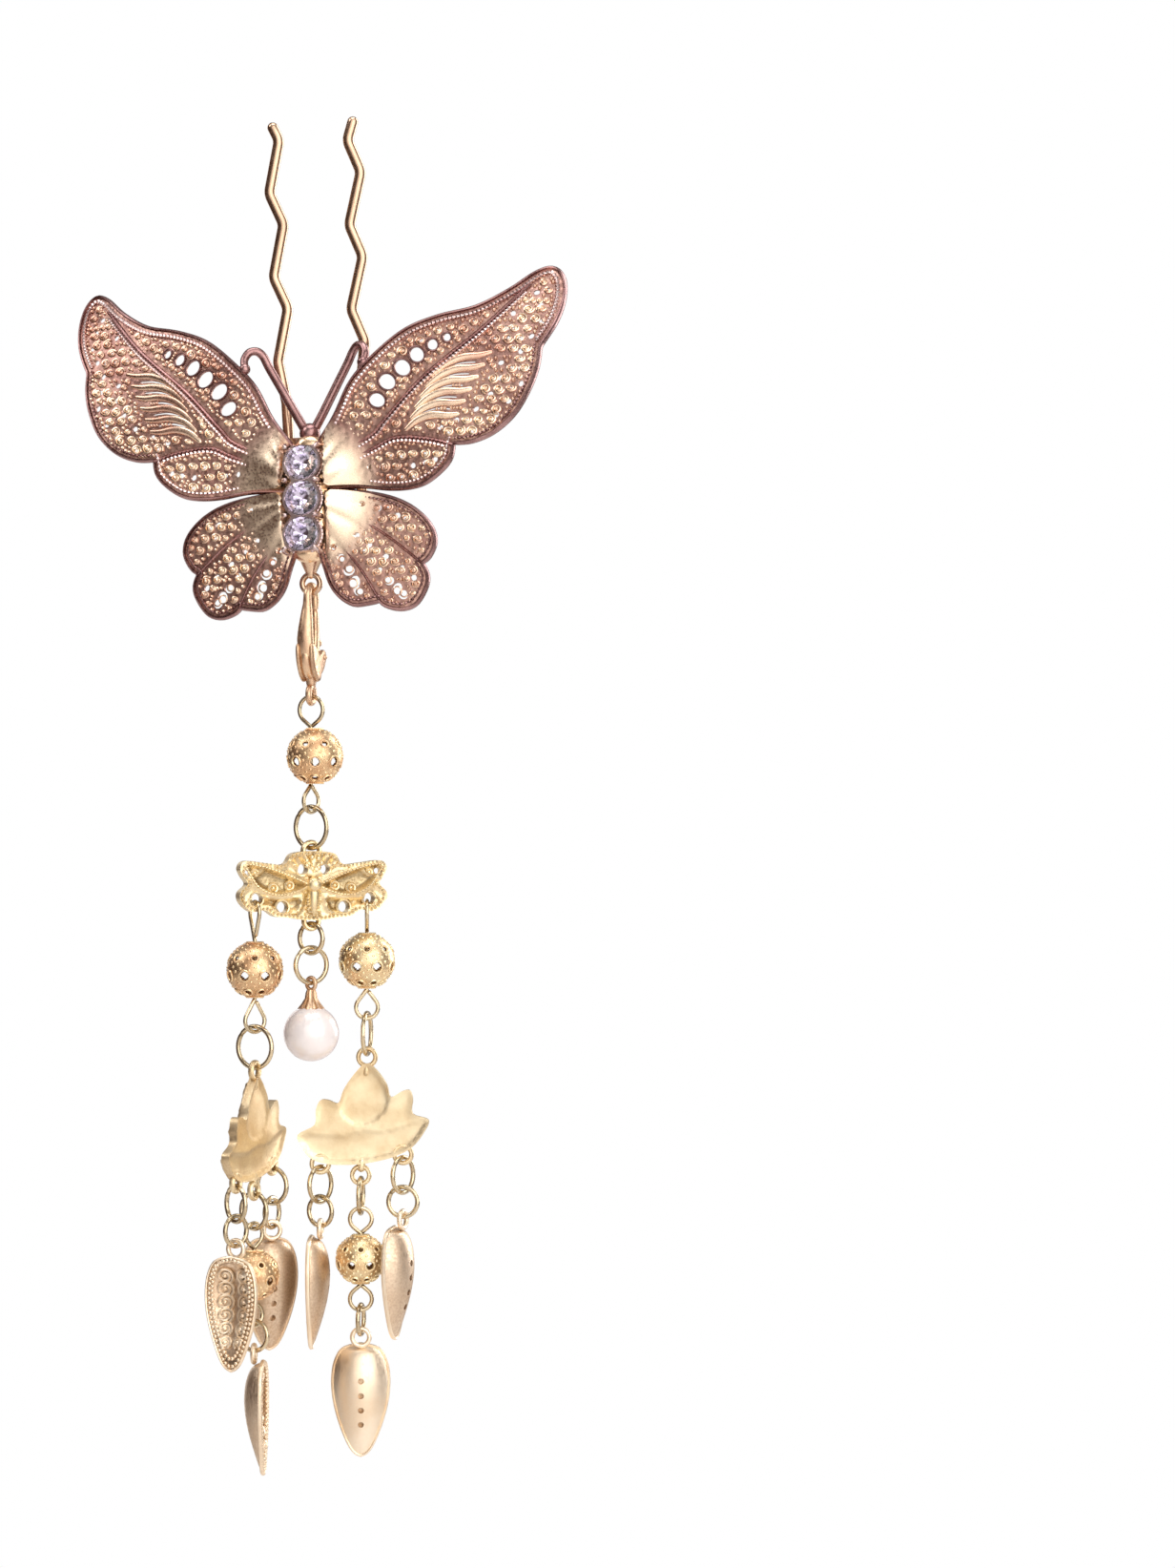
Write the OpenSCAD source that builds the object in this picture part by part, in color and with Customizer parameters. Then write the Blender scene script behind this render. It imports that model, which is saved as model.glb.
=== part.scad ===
// Butterfly hairpin with a hanging, swaying drop, in millimetres.
// The origin lies between the two prongs, where the hair is gripped. +Z is up, towards the
// prongs' tips, and the butterfly's front faces -Y. The hairpin hangs a little askew, and
// every piece that hangs from it is plumb.

/* [Hairpin] */
// Thickness of the hairpin wire
pin_wire = 1.16; // [0.9:0.02:1.4]
// Distance between the two legs at the closed bend, wire centre to wire centre
leg_gap = 7.7; // [7:0.1:9]
// Height of the prong tips above the grip point
tip_rise = 12.4; // [9:0.1:30]
// Depth of the closed bend's centre below the grip point
bend_drop = 28; // [27:0.1:30]
// Length of one wave along a prong
wave_len = 8.85; // [8:0.05:10]
// Sideways swing of a wave to each side
wave_swing = 0.7; // [0.3:0.05:0.9]
// Radius of the wave's bends, at the wire's centre
wave_bend = 1.6; // [1.2:0.1:2]
// Angle by which each prong leans outwards
prong_splay = 0.9; // [0:0.1:2]
// Angle by which the hairpin and its butterfly hang askew
askew = 2.3; // [0:0.1:4]

/* [Butterfly] */
// Reach of a forewing from the body's middle line
fore_reach = 26.6; // [22:0.1:30]
// Height of a forewing's tip above the body's middle
fore_rise = 23.8; // [20:0.1:28]
// Reach of a hindwing from the body's middle line
hind_reach = 13.6; // [11:0.1:16]
// Depth of a hindwing below the body's middle
hind_fall = 12; // [11:0.1:14]
// Thickness of the pierced web
web_thick = 0.5; // [0.4:0.05:0.8]
// Thickness of the rims and veins
rim_thick = 1.1; // [0.9:0.05:1.6]
// Width of the rim wire
rim_wide = 0.6; // [0.4:0.05:0.8]
// Width of a vein
vein_wide = 0.5; // [0.4:0.05:0.7]
// Radius of the forewing's curve inside its crest
crest_radius = 25; // [20:1:40]
// Radius of the forewing's backward sweep beyond its crest
sweep_radius = 42; // [36:1:60]
// Radius of the hindwing's backward sweep
hind_radius = 45; // [36:1:60]
// Distance of the body's middle in front of the prongs
stand_off = 4.2; // [4:0.1:6]
// Distance of the body's middle below the grip point
body_drop = 27.4; // [26.5:0.1:29]
// Sideways offset of the body from the middle of the prongs
body_shift = 0.4; // [0:0.1:0.8]
// Angle by which the butterfly leans back from the prongs
lean = 7; // [4:0.5:9]
// Width of the body under the stones
body_wide = 5; // [4.6:0.1:6]
// Depth of the body from front to back
body_deep = 2.5; // [2.2:0.1:3]
// Thickness of an antenna
antenna_thick = 0.62; // [0.5:0.02:0.8]
// Thickness of the tail loop's wire
tail_wire = 0.64; // [0.56:0.02:0.7]
// Outer size of the tail loop
tail_size = 2.54; // [2.5:0.02:3.2]

/* [Stones] */
// Diameter of a stone
stone_size = 3.6; // [3:0.05:3.8]
// Distance from stone to stone
stone_pitch = 3.75; // [3.75:0.05:4.2]
// Width of the setting strip
strip_wide = 4.2; // [4.1:0.1:4.8]
// Depth of the setting strip
strip_deep = 1.7; // [1.5:0.1:2.2]
// Thickness of the strip's floor under the stones
strip_floor = 0.3; // [0.2:0.05:0.4]
// Height of a stone's table above the strip's front
stone_proud = 0.4; // [0.2:0.05:0.8]

/* [Clasp] */
// Length from the loop it hooks on to the middle of its own eye
clasp_long = 10.6; // [10:0.1:12]
// Greatest width of the clasp
clasp_wide = 5; // [4.8:0.1:5.6]
// Thickness of the clasp's body
clasp_thick = 2.1; // [1.9:0.1:2.6]
// Thickness of the hook's bar
hook_bar = 0.8; // [0.7:0.02:0.84]
// Radius of the hook's curve, at the bar's centre
hook_radius = 1.3; // [1.2:0.05:1.4]
// Thickness of the lever
lever_thick = 0.8; // [0.6:0.05:1]
// Diameter of the lever's pivot pin
pivot_size = 0.6; // [0.5:0.02:0.7]
// Free space round the pivot pin, on the radius
pivot_play = 0.05; // [0.03:0.01:0.08]
// Outer size of the clasp's own eye
clasp_eye = 2.4; // [2.3:0.1:3]

/* [Links] */
// Wire of the jump rings
ring_wire = 0.5; // [0.4:0.02:0.56]
// Outer size of the ring above the butterfly plate
top_ring = 4.8; // [4.4:0.1:5.4]
// Outer size of the large jump rings
big_ring = 4.2; // [4:0.1:5]
// Outer size of the small jump rings
small_ring = 3.6; // [3.2:0.1:3.9]
// Wire through the beads
bead_wire = 0.44; // [0.36:0.02:0.5]
// Radius of the bead wire's loops, at the wire's centre
loop_radius = 1.15; // [1.1:0.05:1.4]
// Free space where one link hangs in the next
slack = 0.1; // [0.1:0.01:0.16]

/* [Beads and pearl] */
// Diameter of the three upper filigree beads
bead_size = 6; // [5.4:0.1:6.4]
// Diameter of the two lower filigree beads
low_bead_size = 5.4; // [5:0.1:5.8]
// Wall of a filigree bead
bead_wall = 0.4; // [0.3:0.05:0.6]
// Diameter of a bead's two end holes
bead_bore = 1.5; // [1.2:0.1:1.8]
// Diameter of the pearl
pearl_size = 5.8; // [5:0.1:6.4]
// Diameter of the peg that holds the pearl
peg_size = 0.8; // [0.6:0.05:1]
// Width of the pearl's cap
cap_size = 2.6; // [2.2:0.1:3.2]

/* [Butterfly plate] */
// Half width of the plate
plate_half = 8.1; // [7.4:0.1:9]
// Height of the plate's flower above its middle
plate_rise = 3.6; // [3.4:0.1:4]
// Depth of the plate's flower below its middle
plate_fall = 4; // [3.8:0.1:4.4]
// Thickness of the plate
plate_thick = 0.9; // [0.7:0.05:1.1]
// Height of the ornament on the plate
plate_relief = 0.5; // [0.3:0.05:0.8]
// Distance of the side strands from the plate's middle
strand_side = 6.2; // [6:0.1:6.6]

/* [Lotus plates] */
// Half width of a lotus
lotus_half = 6.8; // [6.2:0.1:7]
// Depth of a lotus below its hanging hole
lotus_fall = 11.2; // [10.8:0.1:12]
// Thickness of a lotus plate
lotus_thick = 0.7; // [0.6:0.05:0.9]
// Height of the bud and petals on a lotus
lotus_relief = 0.55; // [0.4:0.05:0.8]
// Distance of the side drops from a lotus's middle
drop_side = 4.3; // [4.1:0.05:4.6]
// Radius of a hanging hole
eye_hole = 0.65; // [0.62:0.01:0.75]
// Width of metal round a hanging hole
eye_rim = 0.5; // [0.4:0.02:0.56]

/* [Leaves] */
// Length of a leaf
leaf_long = 11.8; // [10.5:0.1:12.5]
// Width of a leaf
leaf_wide = 6; // [5:0.1:6.2]
// Depth of a leaf's dish
leaf_deep = 1.9; // [1.4:0.05:2]
// Wall of a leaf
leaf_wall = 0.55; // [0.4:0.05:0.7]
// Width of the border round a leaf
border_wide = 0.6; // [0.4:0.05:0.8]

/* [Hidden] */
$fn = 48;

// Turn of each hanging piece about its plumb line, seen from above: 0 faces -Y, and a
// positive turn faces it more to +X. Neighbours stand at 55 degrees or more to each other.
TOP_EYE_TURN = -12;
TOP_LOOP_TURN = 66;
TOP_RING_TURN = -24;
PLATE_TURN = 38;
LEFT_EYE_TURN = -47;
LEFT_LOOP_TURN = 48;
LEFT_RING_TURN = -18;
LEFT_LOTUS_TURN = 263;
RIGHT_EYE_TURN = 108;
RIGHT_LOOP_TURN = 18;
RIGHT_RING_TURN = 96;
RIGHT_LOTUS_TURN = 192;
PEARL_LINK_TURN = -22;
PEARL_RING_TURN = 48;
PEARL_EYE_TURN = -28;

// Side drops of the two lotus plates, one row each.
// Columns: name, lotus (0 left, 1 right), place on the lotus, turn of ring, link and leaf.
NAME = 0;
LOTUS = 1;
PLACE = 2;
RING_TURN = 3;
LINK_TURN = 4;
LEAF_TURN = 5;
SIDE_DROPS = [
    ["left_front", 0, 1, -40, 64, -12],
    ["left_rear", 0, -1, -17, 80, 215],
    ["right_inner", 1, 1, 70, -22, 280],
    ["right_outer", 1, -1, 72, 4, 263]
];

// Middle drops of the two lotus plates, one row each.
// Columns: name, lotus, place, turn of ring, bead wire's eye, its loop, link and leaf.
EYE_TURN = 4;
LOOP_TURN = 5;
LOW_LINK_TURN = 6;
LOW_LEAF_TURN = 7;
MIDDLE_DROPS = [
    ["left_middle", 0, 0, -27, 60, 60, -10, 101],
    ["right_middle", 1, 0, 100, 20, 20, 96, 198]
];

// Points and curves

function mix(a, b, t) = a + (b - a) * t;
function unit(v) = v / norm(v);
function scaled(table, wide, high) = [for (p = table) [p[0] * wide, p[1] * high]];
function mirrored(points) = [for (i = [len(points) - 1 : -1 : 0]) [-points[i][0], points[i][1]]];

// Point t (0 to 1) between b and c of a smooth curve through a, b, c and d.
function spline(a, b, c, d, t) =
    0.5 * (2 * b + (c - a) * t + (2 * a - 5 * b + 4 * c - d) * t * t
    + (3 * b - a - 3 * c + d) * t * t * t);

// Smooth open curve through all points, with the given steps between two of them.
function curve(points, steps) = [
    for (i = [0 : len(points) - 2])
        for (k = [0 : (i == len(points) - 2 ? steps : steps - 1)])
            spline(points[max(i - 1, 0)], points[i], points[i + 1],
                points[min(i + 2, len(points) - 1)], k / steps)
];

// Point at share t along a short table of points.
function along(points, t) =
    let (s = t * (len(points) - 1), i = min(floor(s), len(points) - 2))
    spline(points[max(i - 1, 0)], points[i], points[i + 1],
        points[min(i + 2, len(points) - 1)], s - i);

// Outline of a strip of the given width along a curve.
function strip_side(points, half) = [
    for (i = [0 : len(points) - 1])
        let (
            d = unit(points[min(i + 1, len(points) - 1)] - points[max(i - 1, 0)])
        )
        points[i] + half * [-d[1], d[0]]
];
function strip_outline(points, wide) =
    let (back = strip_side(points, -wide / 2))
    concat(strip_side(points, wide / 2), [for (i = [len(back) - 1 : -1 : 0]) back[i]]);

module band(table, wide, steps = 3) {
    polygon(strip_outline(curve(table, steps), wide));
}

// Round holes spaced evenly along a table of points.
module hole_row(table, count, radius) {
    for (i = [0 : count - 1])
        translate(along(table, i / (count - 1))) circle(radius, $fn = 16);
}

// Frames

// Stands a drawing in the XZ plane, with its thickness to both sides of Y = 0.
module upright(thick) {
    rotate([90, 0, 0]) linear_extrude(thick, center = true) children();
}

// The same, from Y = back towards the front.
module relief(back, thick) {
    translate([0, back, 0]) rotate([90, 0, 0]) linear_extrude(thick) children();
}

// The butterfly's own frame: origin at the body's middle, wings in its XZ plane.
module on_butterfly() {
    translate(body_middle) rotate([-lean, 0, 0]) rotate([0, -askew, 0]) children();
}

function from_butterfly(p) =
    let (
        x = p[0] * cos(askew) - p[2] * sin(askew),
        z = p[0] * sin(askew) + p[2] * cos(askew)
    )
    body_middle + [x, p[1] * cos(lean) + z * sin(lean), z * cos(lean) - p[1] * sin(lean)];

body_middle = [body_shift, -stand_off, -body_drop];

// A hanging piece: moved to a point and turned about its plumb line.
module hung(place, turn) {
    translate(place) rotate([0, 0, turn]) children();
}

function below(place, drop) = place - [0, 0, drop];
function sideways(turn, reach) = reach * [cos(turn), sin(turn), 0];

// Wire pieces

module rod(a, b, radius) {
    d = b - a;
    translate(a)
        rotate([0, acos(d[2] / norm(d)), atan2(d[1], d[0])])
            cylinder(h = norm(d), r = radius);
}

// A straight stretch of wire is this much thinner than its bends, on the radius, and runs
// this far into them.
JOINT_STEP = 0.015;
JOINT_LAP = 0.12;

// Ball of solder that joins two ends of wire.
module solder(place, wire) {
    translate(place) sphere(wire * 0.53);
}

// Round wire in the XZ plane through flat points, with round bends at the inner ones.
function heading(points, i) = unit(points[i + 1] - points[i]);
function turning(points, i) =
    let (u = heading(points, i - 1), v = heading(points, i))
    atan2(u[0] * v[1] - u[1] * v[0], u * v);
function bend_in(points, i, bend) =
    points[i] - bend * tan(abs(turning(points, i)) / 2) * heading(points, i - 1);
function bend_out(points, i, bend) =
    points[i] + bend * tan(abs(turning(points, i)) / 2) * heading(points, i);

module bent_wire(points, radius, bend) {
    last = len(points) - 1;
    for (i = [0 : last - 1]) {
        lap = JOINT_LAP * heading(points, i);
        a = i == 0 ? points[0] : bend_out(points, i, bend) - lap;
        b = i == last - 1 ? points[last] : bend_in(points, i + 1, bend) + lap;
        rod([a[0], 0, a[1]], [b[0], 0, b[1]], radius - JOINT_STEP);
    }
    for (i = [1 : last - 1]) {
        side = sign(turning(points, i));
        u = heading(points, i - 1);
        v = heading(points, i);
        middle = bend_in(points, i, bend) + side * bend * [-u[1], u[0]];
        first = side > 0 ? atan2(-u[0], u[1]) : atan2(v[0], -v[1]);
        translate([middle[0], 0, middle[1]]) rotate([90, 0, 0])
            rotate_extrude(angle = abs(turning(points, i)), start = first)
                translate([bend, 0]) circle(radius);
    }
}

// Closed ring of round wire standing in the XZ plane, round the origin.
module ring(outer, wire) {
    rotate([90, 0, 0]) rotate_extrude() translate([(outer - wire) / 2, 0]) circle(wire / 2);
}

// Drop-shaped wire loop round the origin, whose two ends meet at height tip (above or below).
module drop_loop(radius, tip, wire) {
    flank = asin(radius / abs(tip));
    touch = [radius * cos(flank), sign(tip) * radius * sin(flank)];
    rotate([90, 0, 0]) rotate_extrude(angle = 180 + 2 * flank,
            start = tip > 0 ? 180 - flank : -flank)
        translate([radius, 0]) circle(wire / 2);
    for (side = [-1, 1]) {
        start = [side * touch[0], 0, touch[1]];
        rod(start - JOINT_LAP * unit([0, 0, tip] - start), [0, 0, tip], wire / 2 - JOINT_STEP);
    }
    solder([0, 0, tip], wire);
}

// Hairpin

leg_side = leg_gap / 2;
pin_radius = pin_wire / 2;
// Height at which the straight legs end and the waves begin.
wave_start = -17;
// Share of a wave's length taken by its steeper half.
WAVE_STEEP = 0.38;

// Turning points of a prong above the legs: the first bend leans to the given side.
function prong_points(first, phase) = concat(
    [[0, -bend_drop - JOINT_LAP], [0, wave_start]],
    [
        for (k = [0 : 8])
            let (
                pair = floor(k / 2),
                z = wave_start + phase * wave_len + pair * wave_len
                    + (k % 2 == 0 ? 0 : (first > 0 ? WAVE_STEEP : 1 - WAVE_STEEP) * wave_len)
            )
            if (z < tip_rise - 1.5) [first * (k % 2 == 0 ? 1 : -1) * wave_swing, z]
    ]
);

// The last leg of a prong runs on towards the next bend and is cut off at the tip.
function with_tip(points) =
    let (p = points[len(points) - 1])
    concat(points, [[p[0] - sign(p[0]) * 0.9 * wave_swing, tip_rise]]);

module prong(side, first, phase) {
    translate([0, 0, -bend_drop]) rotate([0, side * prong_splay, 0])
        translate([side * leg_side, 0, bend_drop])
            bent_wire(with_tip(prong_points(first, phase)), pin_radius, wave_bend);
}

module hairpin() color("goldenrod") rotate([0, -askew, 0]) {
    prong(-1, -1, 0.5);
    prong(1, 1, 0.68);
    // The closed bend meets both leaning legs square.
    translate([0, 0, -bend_drop]) rotate([90, 0, 0])
        rotate_extrude(angle = 180 - 2 * prong_splay, start = 180 + prong_splay)
            translate([leg_side, 0]) circle(pin_radius);
}

// Butterfly

// Wing outlines from root to root, as shares of the reach and the rise (or fall).
// Each table is one smooth edge, and the edges meet in the notches.
FORE_LEAD = [
    [0.05, 0.22], [0.13, 0.34], [0.20, 0.49], [0.29, 0.60], [0.41, 0.71], [0.54, 0.77],
    [0.68, 0.81], [0.80, 0.89], [0.89, 0.975], [0.95, 1], [0.99, 0.95], [1, 0.85],
    [0.98, 0.74], [0.93, 0.625]
];
FORE_TRAIL = [
    [0.93, 0.625], [0.925, 0.53], [0.90, 0.43], [0.85, 0.32], [0.775, 0.24], [0.69, 0.20],
    [0.61, 0.195]
];
MIDDLE_LOBE = [
    [0.61, 0.195], [0.60, 0.13], [0.565, 0.08], [0.50, 0.03], [0.43, 0.012], [0.34, 0.015],
    [0.22, 0.035], [0.05, 0.03]
];
HIND_OUTER = [
    [0.09, 0.03], [0.33, 0.03], [0.62, -0.03], [0.82, -0.13], [0.96, -0.28], [1, -0.43],
    [0.95, -0.56], [0.89, -0.61]
];
HIND_LOWER = [
    [0.89, -0.61], [0.93, -0.72], [0.91, -0.83], [0.83, -0.96], [0.72, -1], [0.61, -0.97],
    [0.56, -0.925]
];
HIND_INNER = [
    [0.56, -0.925], [0.46, -0.945], [0.36, -0.95], [0.26, -0.88], [0.19, -0.77],
    [0.14, -0.60], [0.08, -0.42]
];
// Veins, each from the body outwards.
FORE_VEIN = [[0.05, 0.13], [0.27, 0.24], [0.34, 0.315], [0.485, 0.49], [0.70, 0.70], [0.87, 0.91]];
LOBE_VEIN = [[0.05, 0.10], [0.27, 0.18], [0.38, 0.23], [0.52, 0.215], [0.61, 0.185]];
HIND_VEINS = [
    [[0.09, -0.06], [0.33, -0.17], [0.62, -0.36], [0.89, -0.61]],
    [[0.08, -0.22], [0.28, -0.45], [0.44, -0.68], [0.56, -0.925]]
];
// Rows of round gaps in the web: where they run.
COSTAL_ROW = [
    [0.305, 0.40], [0.345, 0.48], [0.405, 0.54], [0.46, 0.597], [0.52, 0.64], [0.575, 0.672]
];
RIM_ROW = [[0.90, 0.88], [0.93, 0.74], [0.86, 0.60], [0.87, 0.45], [0.78, 0.31]];
FIELD_ROW = [[0.82, 0.78], [0.78, 0.62], [0.79, 0.48], [0.70, 0.34], [0.56, 0.265]];
LOBE_ROW = [[0.27, 0.11], [0.42, 0.10], [0.54, 0.125]];
HIND_ROWS = [
    [[0.45, -0.09], [0.72, -0.20], [0.88, -0.42]],
    [[0.40, -0.36], [0.62, -0.55], [0.83, -0.74]],
    [[0.50, -0.58], [0.64, -0.76], [0.74, -0.88]],
    [[0.22, -0.46], [0.33, -0.66], [0.40, -0.84]]
];
// The comb of slits beyond the vein: its first and last slit, from and to.
SLIT_FIRST = [[0.56, 0.52], [0.69, 0.555]];
SLIT_LAST = [[0.48, 0.33], [0.60, 0.345]];

costal_hole = 0.64;
field_hole = 0.4;
slit_wide = 0.42;

fore_outline = scaled(
    concat(curve(FORE_LEAD, 3), curve(FORE_TRAIL, 3), curve(MIDDLE_LOBE, 3)),
    fore_reach, fore_rise);
hind_outline = scaled(
    concat(curve(HIND_OUTER, 3), curve(HIND_LOWER, 3), curve(HIND_INNER, 3)),
    hind_reach, hind_fall);

module fore_web() {
    difference() {
        offset(delta = -0.15) polygon(fore_outline);
        hole_row(scaled(COSTAL_ROW, fore_reach, fore_rise), len(COSTAL_ROW), costal_hole);
        hole_row(scaled(RIM_ROW, fore_reach, fore_rise), 9, field_hole);
        hole_row(scaled(FIELD_ROW, fore_reach, fore_rise), 9, field_hole);
        hole_row(scaled(LOBE_ROW, fore_reach, fore_rise), 6, field_hole);
        for (k = [0 : 0.25 : 1])
            band(scaled([
                mix(SLIT_FIRST[0], SLIT_LAST[0], k),
                mix(mix(SLIT_FIRST[0], SLIT_LAST[0], k), mix(SLIT_FIRST[1], SLIT_LAST[1], k), 0.5)
                    + [0, 0.012],
                mix(SLIT_FIRST[1], SLIT_LAST[1], k)
            ], fore_reach, fore_rise), slit_wide, 2);
    }
}

module fore_lines() {
    difference() {
        polygon(fore_outline);
        offset(delta = -rim_wide) polygon(fore_outline);
    }
    band(scaled(FORE_VEIN, fore_reach, fore_rise), vein_wide);
    band(scaled(LOBE_VEIN, fore_reach, fore_rise), vein_wide);
}

module hind_web() {
    difference() {
        offset(delta = -0.15) polygon(hind_outline);
        for (table = HIND_ROWS)
            hole_row(scaled(table, hind_reach, hind_fall), 5, field_hole);
    }
}

module hind_lines() {
    difference() {
        polygon(hind_outline);
        offset(delta = -rim_wide) polygon(hind_outline);
    }
    for (table = HIND_VEINS)
        band(scaled(table, hind_reach, hind_fall), vein_wide);
}

// Curved sheets that the wings are cut from. A sheet bends about an axis that lies across
// the wing, and is drawn as rings in the plane of its bend: first the run along the wing,
// then the depth. The crest is the foremost line.
FORE_AXIS = 50;
FORE_CREST = 11.5;
CREST_DEPTH = -1.7;
HIND_AXIS = -50;
HIND_CREST = 5;
HIND_DEPTH = -0.2;

module ring_piece(radius, thick, low, high) {
    intersection() {
        difference() {
            circle(radius + thick / 2, $fn = 96);
            circle(radius - thick / 2, $fn = 96);
        }
        translate([low, -radius - thick]) square([high - low, radius]);
    }
}

// Lays a flat drawing of run and depth across a wing, along the given axis angle.
module across(axis_angle) {
    rotate([0, -axis_angle, 0]) linear_extrude(90, center = true) children();
}

module fore_sheet(thick) {
    across(FORE_AXIS) {
        translate([FORE_CREST, CREST_DEPTH + crest_radius])
            ring_piece(crest_radius, thick, -18, 0);
        translate([FORE_CREST, CREST_DEPTH + sweep_radius])
            ring_piece(sweep_radius, thick, 0, 32);
    }
}

module hind_sheet(thick) {
    across(HIND_AXIS)
        translate([HIND_CREST, HIND_DEPTH + hind_radius])
            ring_piece(hind_radius, thick, -12, 24);
}

module wing() {
    intersection() {
        fore_sheet(web_thick);
        upright(40) fore_web();
    }
    intersection() {
        fore_sheet(rim_thick);
        upright(40) fore_lines();
    }
    intersection() {
        hind_sheet(web_thick);
        upright(40) hind_web();
    }
    intersection() {
        hind_sheet(rim_thick);
        upright(40) hind_lines();
    }
}

strip_long = 3 * stone_pitch + 0.45;
// The wings' roots end this far in front of the body, under the strip.
SEAT_STEP = 0.05;
strip_middle = -0.4;
body_top = 6.6;
body_bottom = -6.8;
body_front = -0.9;
body_back = body_front + body_deep;
head_size = 2.2;
tail_place = [0, 1, -8.9];
tail_middle = from_butterfly(tail_place);

module body() {
    half = body_wide / 2;
    relief(body_back, body_deep) {
        translate([-half, body_bottom + half]) square([body_wide, body_top - body_bottom - body_wide]);
        translate([0, body_top - half]) circle(half);
        translate([0, body_bottom + half]) circle(half);
    }
    translate([0, 0.6, body_top + 0.3]) sphere(head_size / 2);
    // Tapering tail between the body and its loop.
    rod([0, 0.9, body_bottom + 1], [0, tail_place[1], tail_place[2] + tail_size / 2 - 0.4], 0.8);
}

antenna_foot = [0.5, 0.6, body_top + 0.6];
antenna_tip = [5, 0, 15.2];
antenna_rest = [0.245 * fore_reach, -1.5, 0.565 * fore_rise];

module antenna() {
    rod(antenna_foot, antenna_tip, antenna_thick / 2);
    rod(antenna_tip, antenna_rest, antenna_thick / 2);
    translate(antenna_tip) sphere(antenna_thick * 0.8);
}

saddle_high = 5;
saddle_low = -body_drop + 1.5;
saddle_wall = 0.65;
saddle_play = 0.1;

// Plain bracket behind the body: two sleeves on the hairpin's legs and a web between them.
module saddle() rotate([0, -askew, 0]) {
    difference() {
        union() {
            for (side = [-1, 1])
                translate([side * leg_x(saddle_low + saddle_high / 2), 0, saddle_low])
                    cylinder(h = saddle_high, r = pin_radius + saddle_play + saddle_wall);
            translate([-leg_side, body_back - stand_off - 0.6, saddle_low])
                cube([leg_gap, stand_off - body_back + 0.6 - pin_radius / 2, saddle_high]);
        }
        for (side = [-1, 1])
            translate([0, 0, -bend_drop]) rotate([0, side * prong_splay, 0])
                translate([side * leg_side, 0, 0])
                    cylinder(h = saddle_low + 2 * saddle_high + bend_drop, r = pin_radius + saddle_play);
    }
}

// Distance of a leg from the middle at height z.
function leg_x(z) = leg_side + (z + bend_drop) * tan(prong_splay);

module butterfly() color("rosybrown") {
    on_butterfly() {
        difference() {
            union() {
                wing();
                mirror([1, 0, 0]) wing();
            }
            // Seat of the stones' strip.
            translate([
                -strip_wide / 2 - slack, body_front - SEAT_STEP - strip_deep,
                strip_middle - strip_long / 2 - slack
            ])
                cube([strip_wide + 2 * slack, strip_deep, strip_long + 2 * slack]);
        }
        body();
        antenna();
        mirror([1, 0, 0]) antenna();
    }
    saddle();
    translate(tail_middle) ring(tail_size, tail_wire);
}

// Stones

strip_back = body_front - slack;
strip_front = strip_back - strip_deep;
stone_girdle = strip_front + 0.45;
stone_low = strip_back - strip_floor - slack;
claw_size = 0.6;

module stone_setting() color("silver") on_butterfly() {
    difference() {
        relief(strip_back, strip_deep)
            translate([-strip_wide / 2, strip_middle - strip_long / 2])
                square([strip_wide, strip_long]);
        for (k = [-1 : 1])
            translate([0, strip_back, strip_middle + k * stone_pitch]) rotate([90, 0, 0]) {
                translate([0, 0, strip_floor])
                    cylinder(h = strip_deep, r = stone_size / 2 + slack);
                translate([0, 0, -1]) cylinder(h = strip_deep, r = 0.9);
            }
    }
    // Claws at the corners of each cup.
    for (k = [-1.5 : 1.5])
        for (side = [-1, 1])
            translate([
                side * (strip_wide - claw_size) / 2,
                strip_front + 0.3,
                strip_middle + k * (strip_long - claw_size) / 3
            ])
                rotate([90, 0, 0]) cylinder(h = 0.3 + stone_proud, r = claw_size / 2);
}

// Round brilliant seen from the front, its table towards -Y.
module brilliant() {
    radius = stone_size / 2;
    table_front = strip_front - stone_proud;
    hull() {
        translate([0, table_front + 0.02, 0]) rotate([90, 22.5, 0])
            cylinder(h = 0.02, r = radius * 0.58, $fn = 8);
        translate([0, (table_front + stone_girdle) / 2, 0]) rotate([90, 0, 0])
            cylinder(h = 0.02, r = radius * 0.86, $fn = 8);
        translate([0, stone_girdle + 0.15, 0]) rotate([90, 11.25, 0])
            cylinder(h = 0.15, r = radius, $fn = 16);
        translate([0, stone_low, 0]) rotate([90, 0, 0])
            cylinder(h = 0.02, r = radius * 0.3, $fn = 8);
    }
}

module stone(k) color("lavender") on_butterfly() {
    translate([0, 0, strip_middle + k * stone_pitch]) brilliant();
}

module stone_top() stone(1);
module stone_middle() stone(0);
module stone_bottom() stone(-1);

// Clasp

// The clasp lies in the YZ plane and swings about the bottom of the tail loop.
swing_point = below(tail_middle, (tail_size - tail_wire) / 2);
hook_top = (tail_wire + hook_bar) / 2 + slack;
hook_middle = hook_top - hook_radius;
hook_end = -1.7;
pivot_y = 0.26 * clasp_wide;
pivot_z = -6.7;
clasp_eye_z = -clasp_long;
eye_wire = 0.7;
slot_half = lever_thick / 2 + slack;
// Body outline as shares of the half width and the length: spine side down, then up again.
CLASP_OUTER = [
    [-0.68, -0.05], [-0.84, -0.25], [-0.98, -0.45], [-1, -0.58], [-0.86, -0.74],
    [-0.42, -0.88], [0.42, -0.88], [0.84, -0.76], [0.96, -0.66], [0.88, -0.56]
];
CLASP_INNER = [[0.50, -0.53], [0.1, -0.59], [-0.26, -0.52], [-0.40, -0.36], [-0.36, -0.05]];

module in_clasp() {
    translate(swing_point) children();
}

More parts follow.
